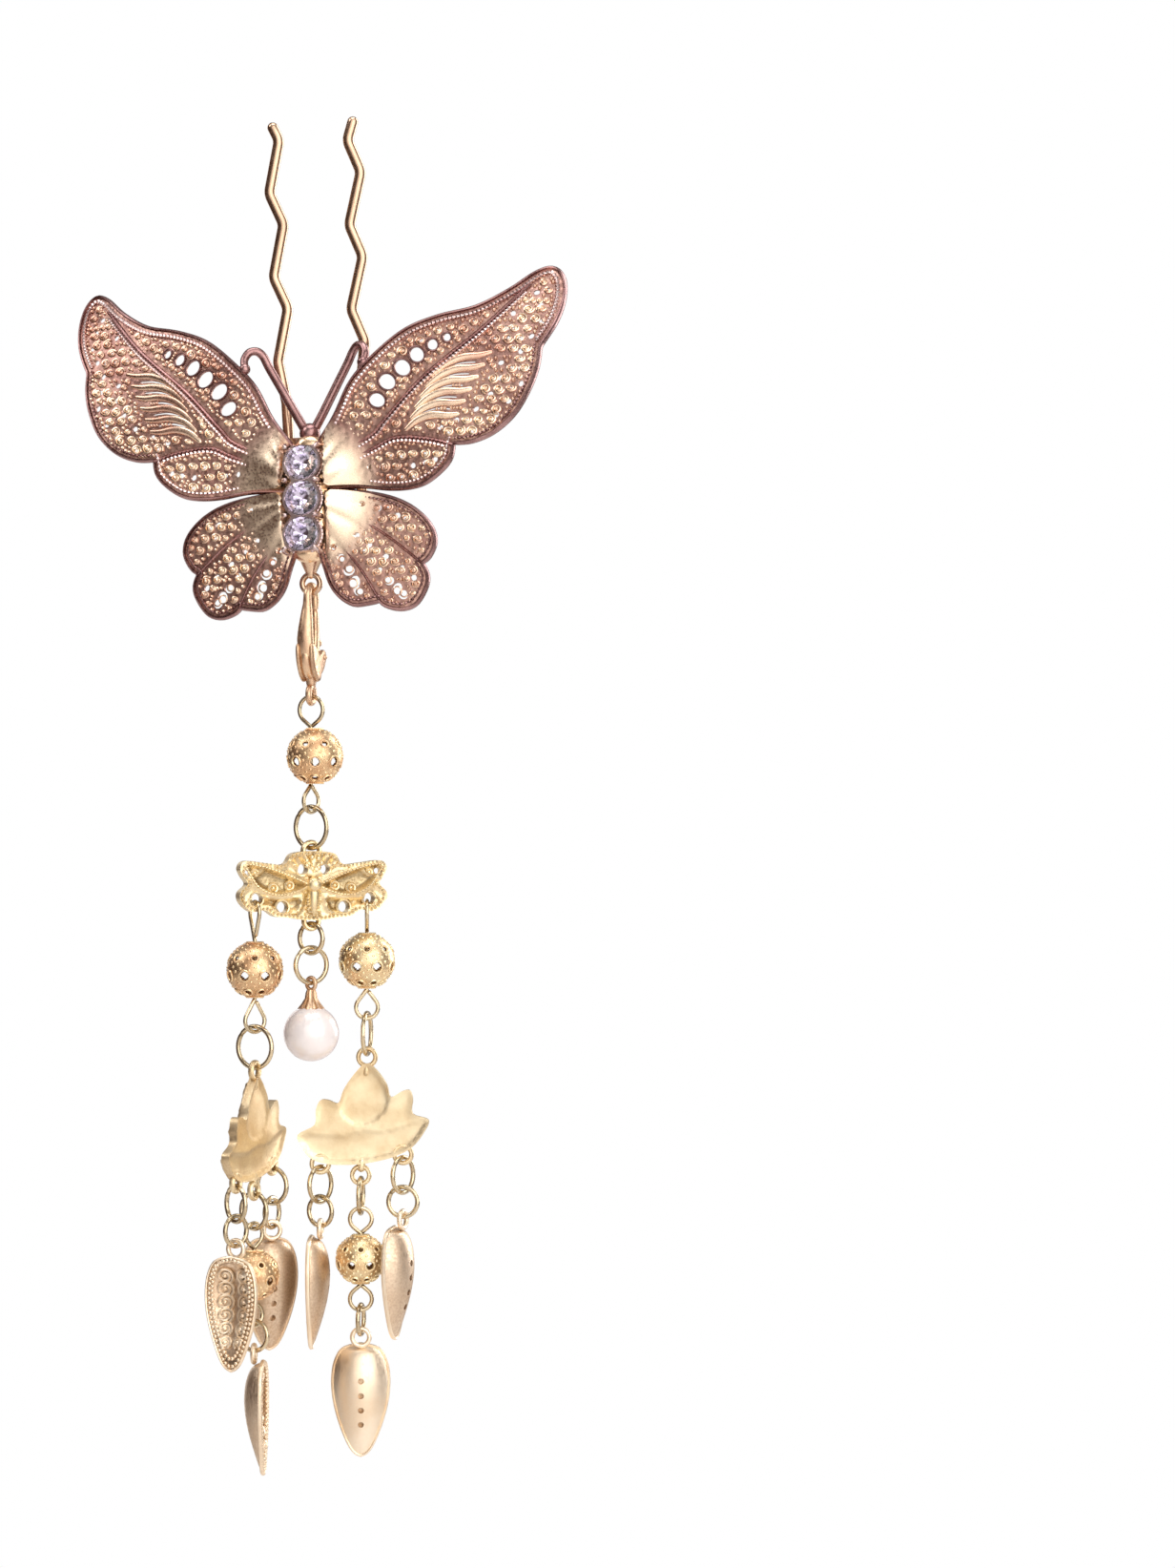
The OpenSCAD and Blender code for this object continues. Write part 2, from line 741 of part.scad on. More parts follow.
// Stands drawings of Y and Z in the YZ plane.
module lengthwise(thick) {
    for (k = [0 : $children - 1])
        rotate([90, 0, 90]) linear_extrude(thick, center = true) children(k);
}

module clasp() color("gold") in_clasp() {
    // Hook's bar over the top, and down to its tip.
    translate([0, 0, hook_middle]) rotate([90, 0, 90])
        rotate_extrude(angle = 180) translate([hook_radius, 0]) circle(hook_bar / 2);
    rod([0, hook_radius, hook_end], [0, hook_radius, hook_middle], hook_bar / 2);
    rod([0, -hook_radius, -2.4], [0, -hook_radius, hook_middle], hook_bar / 2);
    difference() {
        lengthwise(clasp_thick)
            polygon(scaled(concat(curve(CLASP_OUTER, 3), curve(CLASP_INNER, 3)),
                clasp_wide / 2, clasp_long));
        // The spine grows thinner towards the hook.
        for (side = [-1, 1])
            translate([side * (clasp_thick / 2 + 0.35), 0, -0.2]) rotate([0, side * 8, 0])
                cube([0.8, clasp_wide * 2, 9], center = true);
        // Slot for the lever.
        translate([-slot_half, pivot_y - 1.15, pivot_z - 1.1]) cube([2 * slot_half, 4, 6]);
        translate([0, pivot_y, pivot_z]) rotate([0, 90, 0])
            cylinder(h = clasp_thick + 2, r = pivot_size / 2, center = true);
    }
    translate([0, pivot_y, pivot_z]) rotate([0, 90, 0])
        cylinder(h = clasp_thick, r = pivot_size / 2, center = true);
    rod([0, 0, -0.8 * clasp_long], [0, 0, clasp_eye_z + clasp_eye / 2 - 0.2], 0.6);
    translate([0, 0, clasp_eye_z]) rotate([0, 0, 90]) ring(clasp_eye, eye_wire);
}

// The lever turns about the pivot pin, and its tip lies behind the hook's tip.
lever_tip = [hook_radius, hook_end - slack - 0.02];
module clasp_lever() color("gold") in_clasp() {
    difference() {
        lengthwise(lever_thick) {
            translate([pivot_y, pivot_z]) circle(0.8);
            polygon(strip_outline(curve([
                [pivot_y + 0.05, pivot_z],
                [pivot_y + 0.3, mix(pivot_z, lever_tip[1], 0.35)],
                [pivot_y + 0.2, mix(pivot_z, lever_tip[1], 0.7)],
                lever_tip
            ], 3), 0.7));
            // Thumb nub.
            translate([clasp_wide / 2 + 0.05, pivot_z + 1.5]) circle(0.5);
            polygon([
                [pivot_y, pivot_z + 0.4], [clasp_wide / 2 + 0.1, pivot_z + 1.1],
                [clasp_wide / 2, pivot_z + 1.9], [pivot_y + 0.3, pivot_z + 2]
            ]);
        }
        translate([0, pivot_y, pivot_z]) rotate([0, 90, 0])
            cylinder(h = lever_thick + 2, r = pivot_size / 2 + pivot_play, center = true);
    }
}

// Strand wires and beads

wire_inner = loop_radius - bead_wire / 2;

// Half height of a bead at its end holes.
function bead_seat(size) = sqrt(pow(size / 2, 2) - pow(bead_bore / 2, 2));

// Heights below the middle of a bead wire's top eye, for a bead of the given size.
function bead_depth(size, eye_tip) = eye_tip + slack + bead_seat(size);
function loop_depth(size, eye_tip, loop_tip) =
    bead_depth(size, eye_tip) + bead_seat(size) + slack + loop_tip;

module strand_wire(eye_middle, size, eye_tip, loop_tip, eye_turn, loop_turn, eye_radius = loop_radius) {
    depth = loop_depth(size, eye_tip, loop_tip);
    translate(eye_middle) {
        rotate([0, 0, eye_turn]) drop_loop(eye_radius, -eye_tip, bead_wire);
        translate([0, 0, -depth]) rotate([0, 0, loop_turn]) drop_loop(loop_radius, loop_tip, bead_wire);
        translate([0, 0, loop_tip - depth]) cylinder(h = depth - loop_tip - eye_tip, r = bead_wire / 2);
    }
}

// Hollow bead with an open hole at both ends and three rows of round gaps.
module filigree_bead(size) color("gold") {
    belt = 4;
    gap = size * 0.13;
    difference() {
        sphere(size / 2);
        sphere(size / 2 - bead_wall);
        cylinder(h = 1.4 * size, r = bead_bore / 2, center = true);
        for (k = [0 : belt - 1])
            rotate([90, 0, k * 180 / belt]) cylinder(h = 1.4 * size, r = gap, center = true);
    }
}

function hang(contact, inner) = below(contact, inner - slack);

// Upper strand: clasp, bead wire, ring and butterfly plate.
clasp_contact = below(swing_point, clasp_long + clasp_eye / 2 - eye_wire);
TOP_EYE_RADIUS = 1.4;
TOP_EYE_TIP = 1.8;
TOP_LOOP_TIP = 1.7;
// The top bead has slid sideways on its wire.
TOP_BEAD_SLIP = [0.38, 0.1, 0];
top_eye = hang(clasp_contact, TOP_EYE_RADIUS - bead_wire / 2);
top_bead_middle = below(top_eye, bead_depth(bead_size, TOP_EYE_TIP));
top_loop = below(top_eye, loop_depth(bead_size, TOP_EYE_TIP, TOP_LOOP_TIP));
top_ring_middle = hang(below(top_loop, wire_inner), top_ring / 2 - ring_wire);
plate_top_eye = hang(below(top_ring_middle, top_ring / 2 - ring_wire), eye_hole);

module top_wire() color("gold") {
    strand_wire(top_eye, bead_size, TOP_EYE_TIP, TOP_LOOP_TIP, TOP_EYE_TURN, TOP_LOOP_TURN,
        TOP_EYE_RADIUS);
}
module top_bead() translate(top_bead_middle + TOP_BEAD_SLIP) filigree_bead(bead_size);
module top_ring() color("gold") hung(top_ring_middle, TOP_RING_TURN) ring(top_ring, ring_wire);

// Butterfly plate

PLATE_HOLE = 0.6;
plate_eye_rise = plate_rise + eye_rim - 0.5;
plate_middle = below(plate_top_eye, plate_eye_rise);
strand_hole_z = -1.35;
pearl_hole_z = -plate_fall + 0.3;
// Right half of the plate's edge, from the top down, as shares of the half width and height.
PLATE_EDGE = [
    [0, 1], [0.16, 0.98], [0.30, 0.90], [0.40, 0.62], [0.66, 0.66], [0.92, 0.72], [1, 0.52],
    [0.96, 0.28], [0.90, 0.05], [1, -0.20], [0.98, -0.48], [0.84, -0.74], [0.66, -0.70],
    [0.52, -0.88], [0.30, -0.93], [0.16, -0.98], [0, -1]
];
// Raised wing on the plate, and where its small raised rings sit.
PLATE_WING = [
    [0.06, 0.02], [0.30, 0.26], [0.62, 0.52], [0.92, 0.62], [0.86, 0.30], [0.74, -0.05],
    [0.50, -0.26], [0.24, -0.16]
];
PLATE_RINGS = [[0.31, 0.03], [0.54, -0.06], [0.70, 0.30]];
PLATE_HOLES = [[0.14, 0.48], [0.42, -0.62], [0.89, 0.40]];

plate_half_edge = scaled(curve(PLATE_EDGE, 2), plate_half, plate_rise);

module plate_outline() {
    polygon(concat(plate_half_edge, mirrored(plate_half_edge)));
    translate([0, plate_eye_rise]) circle(eye_hole + eye_rim);
    translate([0, pearl_hole_z]) circle(PLATE_HOLE + 0.4);
}

module butterfly_plate() color("khaki") hung(plate_middle, PLATE_TURN) {
    difference() {
        union() {
            upright(plate_thick) plate_outline();
            relief(-plate_thick / 2, plate_relief) {
                for (side = [0, 1])
                    mirror([side, 0]) {
                        difference() {
                            polygon(scaled(curve(PLATE_WING, 3), plate_half, plate_rise));
                            offset(delta = -0.45)
                                polygon(scaled(curve(PLATE_WING, 3), plate_half, plate_rise));
                        }
                        for (p = scaled(PLATE_RINGS, plate_half, plate_rise))
                            translate(p) circle(0.5);
                    }
                translate([-0.5, -plate_fall * 0.72]) square([1, plate_fall * 0.72]);
            }
            translate([0, -plate_thick / 2, 0.1]) rotate([90, 0, 0])
                cylinder(h = plate_relief + 0.3, r = 0.8);
        }
        for (side = [-1, 1]) {
            for (p = scaled(PLATE_HOLES, plate_half, plate_rise))
                translate([side * p[0], 0, p[1]]) rotate([90, 0, 0])
                    cylinder(h = 4, r = 0.45, center = true);
            translate([side * strand_side, 0, strand_hole_z]) rotate([90, 0, 0])
                cylinder(h = 4, r = PLATE_HOLE, center = true);
        }
        for (z = [plate_eye_rise, pearl_hole_z])
            translate([0, 0, z]) rotate([90, 0, 0])
                cylinder(h = 4, r = z > 0 ? eye_hole : PLATE_HOLE, center = true);
    }
}

// Pearl

pearl_link_middle = hang(below(plate_middle, PLATE_HOLE - pearl_hole_z), small_ring / 2 - ring_wire);
pearl_ring_middle = hang(below(pearl_link_middle, small_ring / 2 - ring_wire), big_ring / 2 - ring_wire);
CAP_EYE = 1.7;
cap_eye_middle = hang(below(pearl_ring_middle, big_ring / 2 - ring_wire), CAP_EYE / 2 - bead_wire);
cap_high = 2;
cap_top = below(cap_eye_middle, CAP_EYE / 2 - bead_wire / 2);
pearl_middle = below(cap_top, cap_high + pearl_size / 2 - 0.35);

module pearl_link() color("gold") hung(pearl_link_middle, PEARL_LINK_TURN) ring(small_ring, ring_wire);
module pearl_ring() color("gold") hung(pearl_ring_middle, PEARL_RING_TURN) ring(big_ring, ring_wire);

module pearl_cap() color("gold") {
    hung(cap_eye_middle, PEARL_EYE_TURN) ring(CAP_EYE, bead_wire);
    difference() {
        translate(cap_top) translate([0, 0, -cap_high])
            cylinder(h = cap_high, r1 = cap_size / 2, r2 = 0.45);
        translate(pearl_middle) sphere(pearl_size / 2 + slack);
    }
    translate(below(cap_top, cap_high + 1.6)) cylinder(h = cap_high + 1.2, r = peg_size / 2);
}

module pearl() color("seashell") {
    difference() {
        translate(pearl_middle) sphere(pearl_size / 2);
        translate(below(cap_top, cap_high + 1.6 + slack))
            cylinder(h = 4, r = peg_size / 2 + slack);
    }
}

// Side strands: bead wire, ring and lotus

plate_side = sideways(PLATE_TURN, strand_side);
strand_contact = below(plate_middle, PLATE_HOLE - strand_hole_z);
LEFT_EYE_TIP = 2.9;
LEFT_LOOP_TIP = 2.3;
RIGHT_EYE_TIP = 2.1;
RIGHT_LOOP_TIP = 1.9;
left_eye = hang(strand_contact - plate_side, wire_inner);
left_bead_middle = below(left_eye, bead_depth(bead_size, LEFT_EYE_TIP));
left_loop = below(left_eye, loop_depth(bead_size, LEFT_EYE_TIP, LEFT_LOOP_TIP));
left_ring_middle = hang(below(left_loop, wire_inner), top_ring / 2 - ring_wire);
left_lotus_eye = hang(below(left_ring_middle, top_ring / 2 - ring_wire), eye_hole);
right_eye = hang(strand_contact + plate_side, wire_inner);
right_bead_middle = below(right_eye, bead_depth(bead_size, RIGHT_EYE_TIP));
right_loop = below(right_eye, loop_depth(bead_size, RIGHT_EYE_TIP, RIGHT_LOOP_TIP));
right_ring_middle = hang(below(right_loop, wire_inner), top_ring / 2 - ring_wire);
right_lotus_eye = hang(below(right_ring_middle, top_ring / 2 - ring_wire), eye_hole);

module left_wire() color("gold")
    strand_wire(left_eye, bead_size, LEFT_EYE_TIP, LEFT_LOOP_TIP, LEFT_EYE_TURN, LEFT_LOOP_TURN);
module left_bead() translate(left_bead_middle) filigree_bead(bead_size);
module left_ring() color("gold") hung(left_ring_middle, LEFT_RING_TURN) ring(top_ring, ring_wire);
module right_wire() color("gold")
    strand_wire(right_eye, bead_size, RIGHT_EYE_TIP, RIGHT_LOOP_TIP, RIGHT_EYE_TURN, RIGHT_LOOP_TURN);
module right_bead() translate(right_bead_middle) filigree_bead(bead_size);
module right_ring() color("gold") hung(right_ring_middle, RIGHT_RING_TURN) ring(top_ring, ring_wire);

// Lotus plates

// Each lotus hangs askew in its own plane by these angles.
LEFT_LOTUS_TILT = -1;
RIGHT_LOTUS_TILT = -3;
// One side of the lotus stands higher than the other, by this share of the width.
LOTUS_SKEW = -0.17;
// Right half of a lotus as shares of the half width and of the depth below the hole: the
// bud with its side petals, then the boat of the lower petals.
LOTUS_EDGE = [
    [0.05, -0.06], [0.20, -0.16], [0.33, -0.28], [0.40, -0.40], [0.56, -0.36], [0.72, -0.34],
    [0.76, -0.48], [0.78, -0.60], [1, -0.66], [0.93, -0.78], [0.76, -0.90], [0.50, -0.965],
    [0.24, -0.99], [0, -1]
];
LOTUS_BUD = [[0, -0.09], [0.20, -0.20], [0.36, -0.36], [0.34, -0.50], [0.20, -0.60], [0, -0.64]];
LOTUS_BOAT = [
    [0, -0.70], [0.40, -0.72], [0.74, -0.68], [0.95, -0.68], [0.88, -0.78], [0.70, -0.88],
    [0.40, -0.94], [0, -0.96]
];
SIDE_EYE_Z = -0.6 - 0.9 * lotus_fall;
MIDDLE_EYE_Z = -lotus_fall - eye_hole - eye_rim;
function skewed(points) = [for (p = points) [p[0], p[1] + LOTUS_SKEW * p[0]]];

function lotus_turn(which) = which == 0 ? LEFT_LOTUS_TURN : RIGHT_LOTUS_TURN;
function lotus_tilt(which) = which == 0 ? LEFT_LOTUS_TILT : RIGHT_LOTUS_TILT;
function lotus_eye(which) = which == 0 ? left_lotus_eye : right_lotus_eye;

// The lotus's own four holes: where it hangs, then the three for its drops.
function lotus_hole(place) =
    skewed([[place * drop_side, place == 0 ? MIDDLE_EYE_Z : SIDE_EYE_Z]])[0];

// Middle of one of a lotus's three lower holes: place is -1, 0 or 1 along its own X.
function drop_eye(which, place) =
    let (
        p = lotus_hole(place),
        tilt = lotus_tilt(which),
        run = p[0] * cos(tilt) + p[1] * sin(tilt),
        rise = p[1] * cos(tilt) - p[0] * sin(tilt)
    )
    lotus_eye(which) + sideways(lotus_turn(which), run) + [0, 0, rise];

module both_halves(table) {
    half = scaled(curve(table, 2), lotus_half, lotus_fall);
    polygon(skewed(concat(half, mirrored(half))));
}

module lotus(which) color("palegoldenrod") hung(lotus_eye(which), lotus_turn(which)) {
    rotate([0, lotus_tilt(which), 0]) difference() {
        union() {
            upright(lotus_thick) {
                both_halves(LOTUS_EDGE);
                circle(eye_hole + eye_rim);
                for (place = [-1 : 1])
                    translate(lotus_hole(place)) circle(eye_hole + eye_rim);
                translate([-0.7, -lotus_fall - 0.6]) square([1.4, 1]);
            }
            relief(-lotus_thick / 2, lotus_relief) {
                both_halves(LOTUS_BUD);
                both_halves(LOTUS_BOAT);
            }
        }
        for (p = [[0, 0], lotus_hole(-1), lotus_hole(0), lotus_hole(1)])
            translate([p[0], 0, p[1]]) rotate([90, 0, 0])
                cylinder(h = 8 * lotus_thick, r = eye_hole, center = true);
    }
}

module left_lotus() lotus(0);
module right_lotus() lotus(1);

// Leaves

// Half width of the leaf along its length, as shares of the half width and the length.
LEAF_HALF = [
    [0, 0], [0.62, -0.04], [0.90, -0.15], [1, -0.30], [0.97, -0.46], [0.85, -0.62],
    [0.66, -0.78], [0.46, -0.91], [0.26, -0.975], [0, -1]
];
LEAF_EYE_RISE = 0.75;
// The border stands this far to both sides of the rim.
BORDER_BEHIND = 0.25;
// It stands this far outside the dish all round.
BORDER_PROUD = 0.08;
// A dish is cut from a body turned about an axis this far in front of the leaf's rim.
dish_axis = (pow(leaf_wide / 2, 2) - pow(leaf_deep, 2)) / (2 * leaf_deep);
leaf_edge = scaled(curve(LEAF_HALF, 2), leaf_wide / 2, leaf_long);

// Turned body whose cut at the rim plane has the leaf's outline, less an inset.
module leaf_turned(inset) {
    rotate_extrude()
        polygon(concat(
            [[0, 0]],
            [for (p = leaf_edge) [sqrt(pow(max(p[0], 0), 2) + pow(dish_axis, 2)) - inset, p[1]]],
            [[0, -leaf_long]]
        ));
}

// Leaf below its eye, which lies at the origin: its hollow front faces -Y.
module leaf() color("gold") {
    rim = -leaf_deep / 2;
    translate([0, 0, -LEAF_EYE_RISE]) difference() {
        translate([0, rim - dish_axis, 0]) leaf_turned(0);
        translate([0, rim - dish_axis, 0]) leaf_turned(leaf_wall);
        translate([-leaf_wide, rim - 4 * leaf_wide, -leaf_long - 1])
            cube([2 * leaf_wide, 4 * leaf_wide, leaf_long + 2]);
        for (k = [0 : 3])
            translate([0, 0, -leaf_long * (0.32 + 0.13 * k)]) rotate([90, 0, 0])
                cylinder(h = 12, r = 0.32, center = true);
    }
    // Raised border round the rim.
    translate([0, 0, -LEAF_EYE_RISE]) relief(BORDER_BEHIND - leaf_deep / 2, 2 * BORDER_BEHIND)
        difference() {
            offset(delta = BORDER_PROUD) polygon(concat(leaf_edge, mirrored(leaf_edge)));
            offset(delta = BORDER_PROUD - border_wide)
                polygon(concat(leaf_edge, mirrored(leaf_edge)));
        }
    difference() {
        upright(leaf_wall) {
            circle(eye_hole + eye_rim);
            translate([-0.6, -LEAF_EYE_RISE - 0.9]) square([1.2, 1]);
        }
        rotate([90, 0, 0]) cylinder(h = 4, r = eye_hole, center = true);
    }
}

// Drops under the lotus plates

function drop_ring_middle(row) =
    hang(below(drop_eye(row[LOTUS], row[PLACE]), eye_hole), big_ring / 2 - ring_wire);
function ring_foot(middle, outer) = below(middle, outer / 2 - ring_wire);
function side_link_middle(row) =
    hang(ring_foot(drop_ring_middle(row), big_ring), small_ring / 2 - ring_wire);
function side_leaf_eye(row) = hang(ring_foot(side_link_middle(row), small_ring), eye_hole);

LOW_EYE_TIP = 1.5;
LOW_LOOP_TIP = 1.5;
function low_eye(row) = hang(ring_foot(drop_ring_middle(row), big_ring), wire_inner);
function low_bead_middle(row) = below(low_eye(row), bead_depth(low_bead_size, LOW_EYE_TIP));
function low_loop(row) = below(low_eye(row), loop_depth(low_bead_size, LOW_EYE_TIP, LOW_LOOP_TIP));
function low_link_middle(row) = hang(below(low_loop(row), wire_inner), small_ring / 2 - ring_wire);
function low_leaf_eye(row) = hang(ring_foot(low_link_middle(row), small_ring), eye_hole);

module drop_ring(row) color("gold")
    hung(drop_ring_middle(row), row[RING_TURN]) ring(big_ring, ring_wire);
module side_link(row) color("gold")
    hung(side_link_middle(row), row[LINK_TURN]) ring(small_ring, ring_wire);
module side_leaf(row) hung(side_leaf_eye(row), row[LEAF_TURN]) leaf();
module low_wire(row) color("gold")
    strand_wire(low_eye(row), low_bead_size, LOW_EYE_TIP, LOW_LOOP_TIP, row[EYE_TURN], row[LOOP_TURN]);
module low_bead(row) translate(low_bead_middle(row)) filigree_bead(low_bead_size);
module low_link(row) color("gold")
    hung(low_link_middle(row), row[LOW_LINK_TURN]) ring(small_ring, ring_wire);
module low_leaf(row) hung(low_leaf_eye(row), row[LOW_LEAF_TURN]) leaf();

hairpin();
butterfly();
stone_setting();
stone_top();
stone_middle();
stone_bottom();
clasp();
clasp_lever();
top_wire();
top_bead();
top_ring();
butterfly_plate();
pearl_link();
pearl_ring();
pearl_cap();
pearl();
left_wire();
left_bead();
left_ring();
left_lotus();
right_wire();
right_bead();
right_ring();
right_lotus();
for (row = SIDE_DROPS) {
    drop_ring(row);
    side_link(row);
    side_leaf(row);
}
for (row = MIDDLE_DROPS) {
    drop_ring(row);
    low_wire(row);
    low_bead(row);
    low_link(row);
    low_leaf(row);
}
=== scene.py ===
import math

import bpy
import numpy as np
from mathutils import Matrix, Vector
from mathutils.geometry import delaunay_2d_cdt


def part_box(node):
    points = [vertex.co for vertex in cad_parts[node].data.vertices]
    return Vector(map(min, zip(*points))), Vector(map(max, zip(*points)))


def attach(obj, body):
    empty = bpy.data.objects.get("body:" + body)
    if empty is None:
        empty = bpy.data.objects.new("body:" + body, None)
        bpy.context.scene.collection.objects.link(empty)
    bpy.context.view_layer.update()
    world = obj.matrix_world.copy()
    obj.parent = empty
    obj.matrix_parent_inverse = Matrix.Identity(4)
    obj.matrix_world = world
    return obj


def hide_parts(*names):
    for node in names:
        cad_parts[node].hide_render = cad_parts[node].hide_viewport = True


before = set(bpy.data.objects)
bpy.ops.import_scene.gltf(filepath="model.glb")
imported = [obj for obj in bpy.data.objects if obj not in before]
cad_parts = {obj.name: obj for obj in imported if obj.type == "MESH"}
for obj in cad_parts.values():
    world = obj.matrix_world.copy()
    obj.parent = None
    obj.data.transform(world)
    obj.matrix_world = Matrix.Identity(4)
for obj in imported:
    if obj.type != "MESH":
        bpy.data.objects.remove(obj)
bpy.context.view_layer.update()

# ---------------------------------------------------------------- camera, floor and light
# The hairpin was photographed hanging, level with the camera and a little from its right, on
# white. A seamless bowl of pale paper runs under it and up all round; its left side is painted
# dark brown, a painted shade that the metal mirrors.

view_turn = math.radians(15.3)
camera = bpy.data.objects.new("camera", bpy.data.cameras.new("camera"))
bpy.context.scene.collection.objects.link(camera)
camera.location = (0.1857, -0.5713, -0.0572)
camera.rotation_euler = (math.pi / 2, 0, view_turn)
camera.data.sensor_fit = "VERTICAL"
camera.data.sensor_height = 36
camera.data.lens = 131.39
camera.data.clip_start = 0.01
bpy.context.scene.camera = camera
bpy.context.scene.view_settings.view_transform = "Standard"


def grid_faces(rows, columns, closed):
    """Four-sided faces between rings of points, row by row, and from the last ring on to the
    first one if closed."""
    i, j = np.meshgrid(
        np.arange(rows if closed else rows - 1), np.arange(columns), indexing="ij")
    i2, j2 = (i + 1) % rows, (j + 1) % columns
    corners = [i * columns + j, i * columns + j2, i2 * columns + j2, i2 * columns + j]
    return np.stack([corner.ravel() for corner in corners], 1)


def piece(name, parts, material, body, nodes=(), crease=40):
    """One object from closed parts in millimetres, each (points, faces) or (points, faces,
    recess). A face is four point numbers, and a triangle repeats its third. Each part's faces
    are turned outwards by the sign of its volume, the sum of its corner products. Edges that
    bend more than the crease, in degrees, stay sharp, and with no crease all faces are flat."""
    all_points, all_faces, all_recess, start = [], [], [], 0
    for part in parts:
        points, faces = part[0].reshape(-1, 3), part[1]
        a, b, c, d = (points[faces[:, k]] for k in range(4))
        volume = (a * np.cross(b, c)).sum() + (a * np.cross(c, d)).sum()
        all_faces.append((faces if volume > 0 else faces[:, [1, 0, 3, 2]]) + start)
        all_points.append(points)
        recess = part[2] if len(part) > 2 else 0.0
        all_recess.append(np.broadcast_to(np.asarray(recess, float).ravel(), len(points)))
        start += len(points)
    points, faces = np.concatenate(all_points) * 0.001, np.concatenate(all_faces)
    kept = np.ones(faces.shape, bool)
    kept[:, 3] = faces[:, 2] != faces[:, 3]
    sizes = kept.sum(1)
    mesh = bpy.data.meshes.new(name)
    mesh.vertices.add(len(points))
    mesh.vertices.foreach_set("co", points.ravel())
    mesh.loops.add(int(sizes.sum()))
    mesh.loops.foreach_set("vertex_index", faces[kept].astype(np.int32))
    mesh.polygons.add(len(faces))
    starts = np.concatenate([[0], np.cumsum(sizes)[:-1]])
    mesh.polygons.foreach_set("loop_start", starts.astype(np.int32))
    mesh.polygons.foreach_set("loop_total", sizes.astype(np.int32))
    mesh.update(calc_edges=True)
    mesh.validate()
    mesh.polygons.foreach_set("use_smooth", np.full(len(mesh.polygons), crease > 0))
    if crease:
        mesh.set_sharp_from_angle(angle=math.radians(crease))
    recess = mesh.attributes.new("recess", "FLOAT", "POINT")
    recess.data.foreach_set("value", np.concatenate(all_recess).astype(np.float32))
    mesh.materials.append(material)
    obj = bpy.data.objects.new(name, mesh)
    bpy.context.scene.collection.objects.link(obj)
    if body:
        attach(obj, body)
        if nodes:
            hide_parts(*nodes)
    return obj


def turned(profile, centre, axis=(0, 0, 1), sides=48, wave=0, flute=0.0):
    """Surface turned about an axis through centre: the closed profile of (radius, height)
    pairs, its radii swollen by flute times the cosine of wave turns."""
    axis = np.array(axis, float)
    first = np.cross(axis, (0.31, 0.95, 0.05))
    first /= np.linalg.norm(first)
    second = np.cross(axis, first)
    turn = np.arange(sides) * 2 * np.pi / sides
    profile = np.array(profile, float)
    radius = profile[:, None, 0] * (1 + flute * np.cos(wave * turn))
    points = (np.array(centre, float) + profile[:, None, 1:2] * axis
        + (radius * np.cos(turn))[..., None] * first
        + (radius * np.sin(turn))[..., None] * second)
    return points, grid_faces(len(profile), sides, True)


def nodes_of(name):
    """A new material with its principled shader, a helper that sets or links the inputs of a
    node, and one that adds a node with such inputs."""
    material = bpy.data.materials.new(name)
    material.use_nodes = True
    tree = material.node_tree

    def feed(node, inputs):
        for key, value in inputs.items():
            if isinstance(value, bpy.types.NodeSocket):
                tree.links.new(value, node.inputs[key])
            else:
                node.inputs[key].default_value = value

    def add(kind, inputs=(), **settings):
        node = tree.nodes.new("ShaderNode" + kind)
        for key, value in settings.items():
            setattr(node, key, value)
        feed(node, dict(inputs))
        return node

    return material, tree.nodes["Principled BSDF"], feed, add


paper, shader, feed, add = nodes_of("pale_paper")
side = add("SeparateXYZ", {"Vector": add("TexCoord").outputs["Object"]})
# Painted shade: the bowl turns dark brown towards its left, which only reflections show.
left_shade = add("MapRange", {"Value": side.outputs[0], "From Min": -1.5, "From Max": -0.45},
    interpolation_type="SMOOTHSTEP")
shaded_paper = add("Mix", {0: left_shade.outputs[0], 6: (0.20, 0.13, 0.11, 1), 7: (0.80, 0.77, 0.75, 1)},
    data_type="RGBA")
feed(shader, {"Base Color": shaded_paper.outputs[2], "Roughness": 0.9})
glow = add("Emission", {"Color": (1, 1, 1, 1), "Strength": 1.0})
seen = add("LightPath")
mixed = add("MixShader",
    {0: seen.outputs["Is Camera Ray"], 1: shader.outputs[0], 2: glow.outputs[0]})
feed(paper.node_tree.nodes["Material Output"], {"Surface": mixed.outputs[0]})
bowl_floor, bowl_top, bowl_radius, bowl_bend = -320, 1600, 2000, 500
bend = np.linspace(-math.pi / 2, 0, 12)
bowl = [(0.001, bowl_floor)] + [(bowl_radius - bowl_bend + bowl_bend * math.cos(b),
    bowl_floor + bowl_bend + bowl_bend * math.sin(b)) for b in bend]
bowl += [(bowl_radius, bowl_top), (bowl_radius + 1, bowl_top),
    (bowl_radius + 1, bowl_floor - 1), (0.001, bowl_floor - 1)]
floor = piece("floor", [turned(bowl, (0, 0, 0), sides=64)], paper, "")

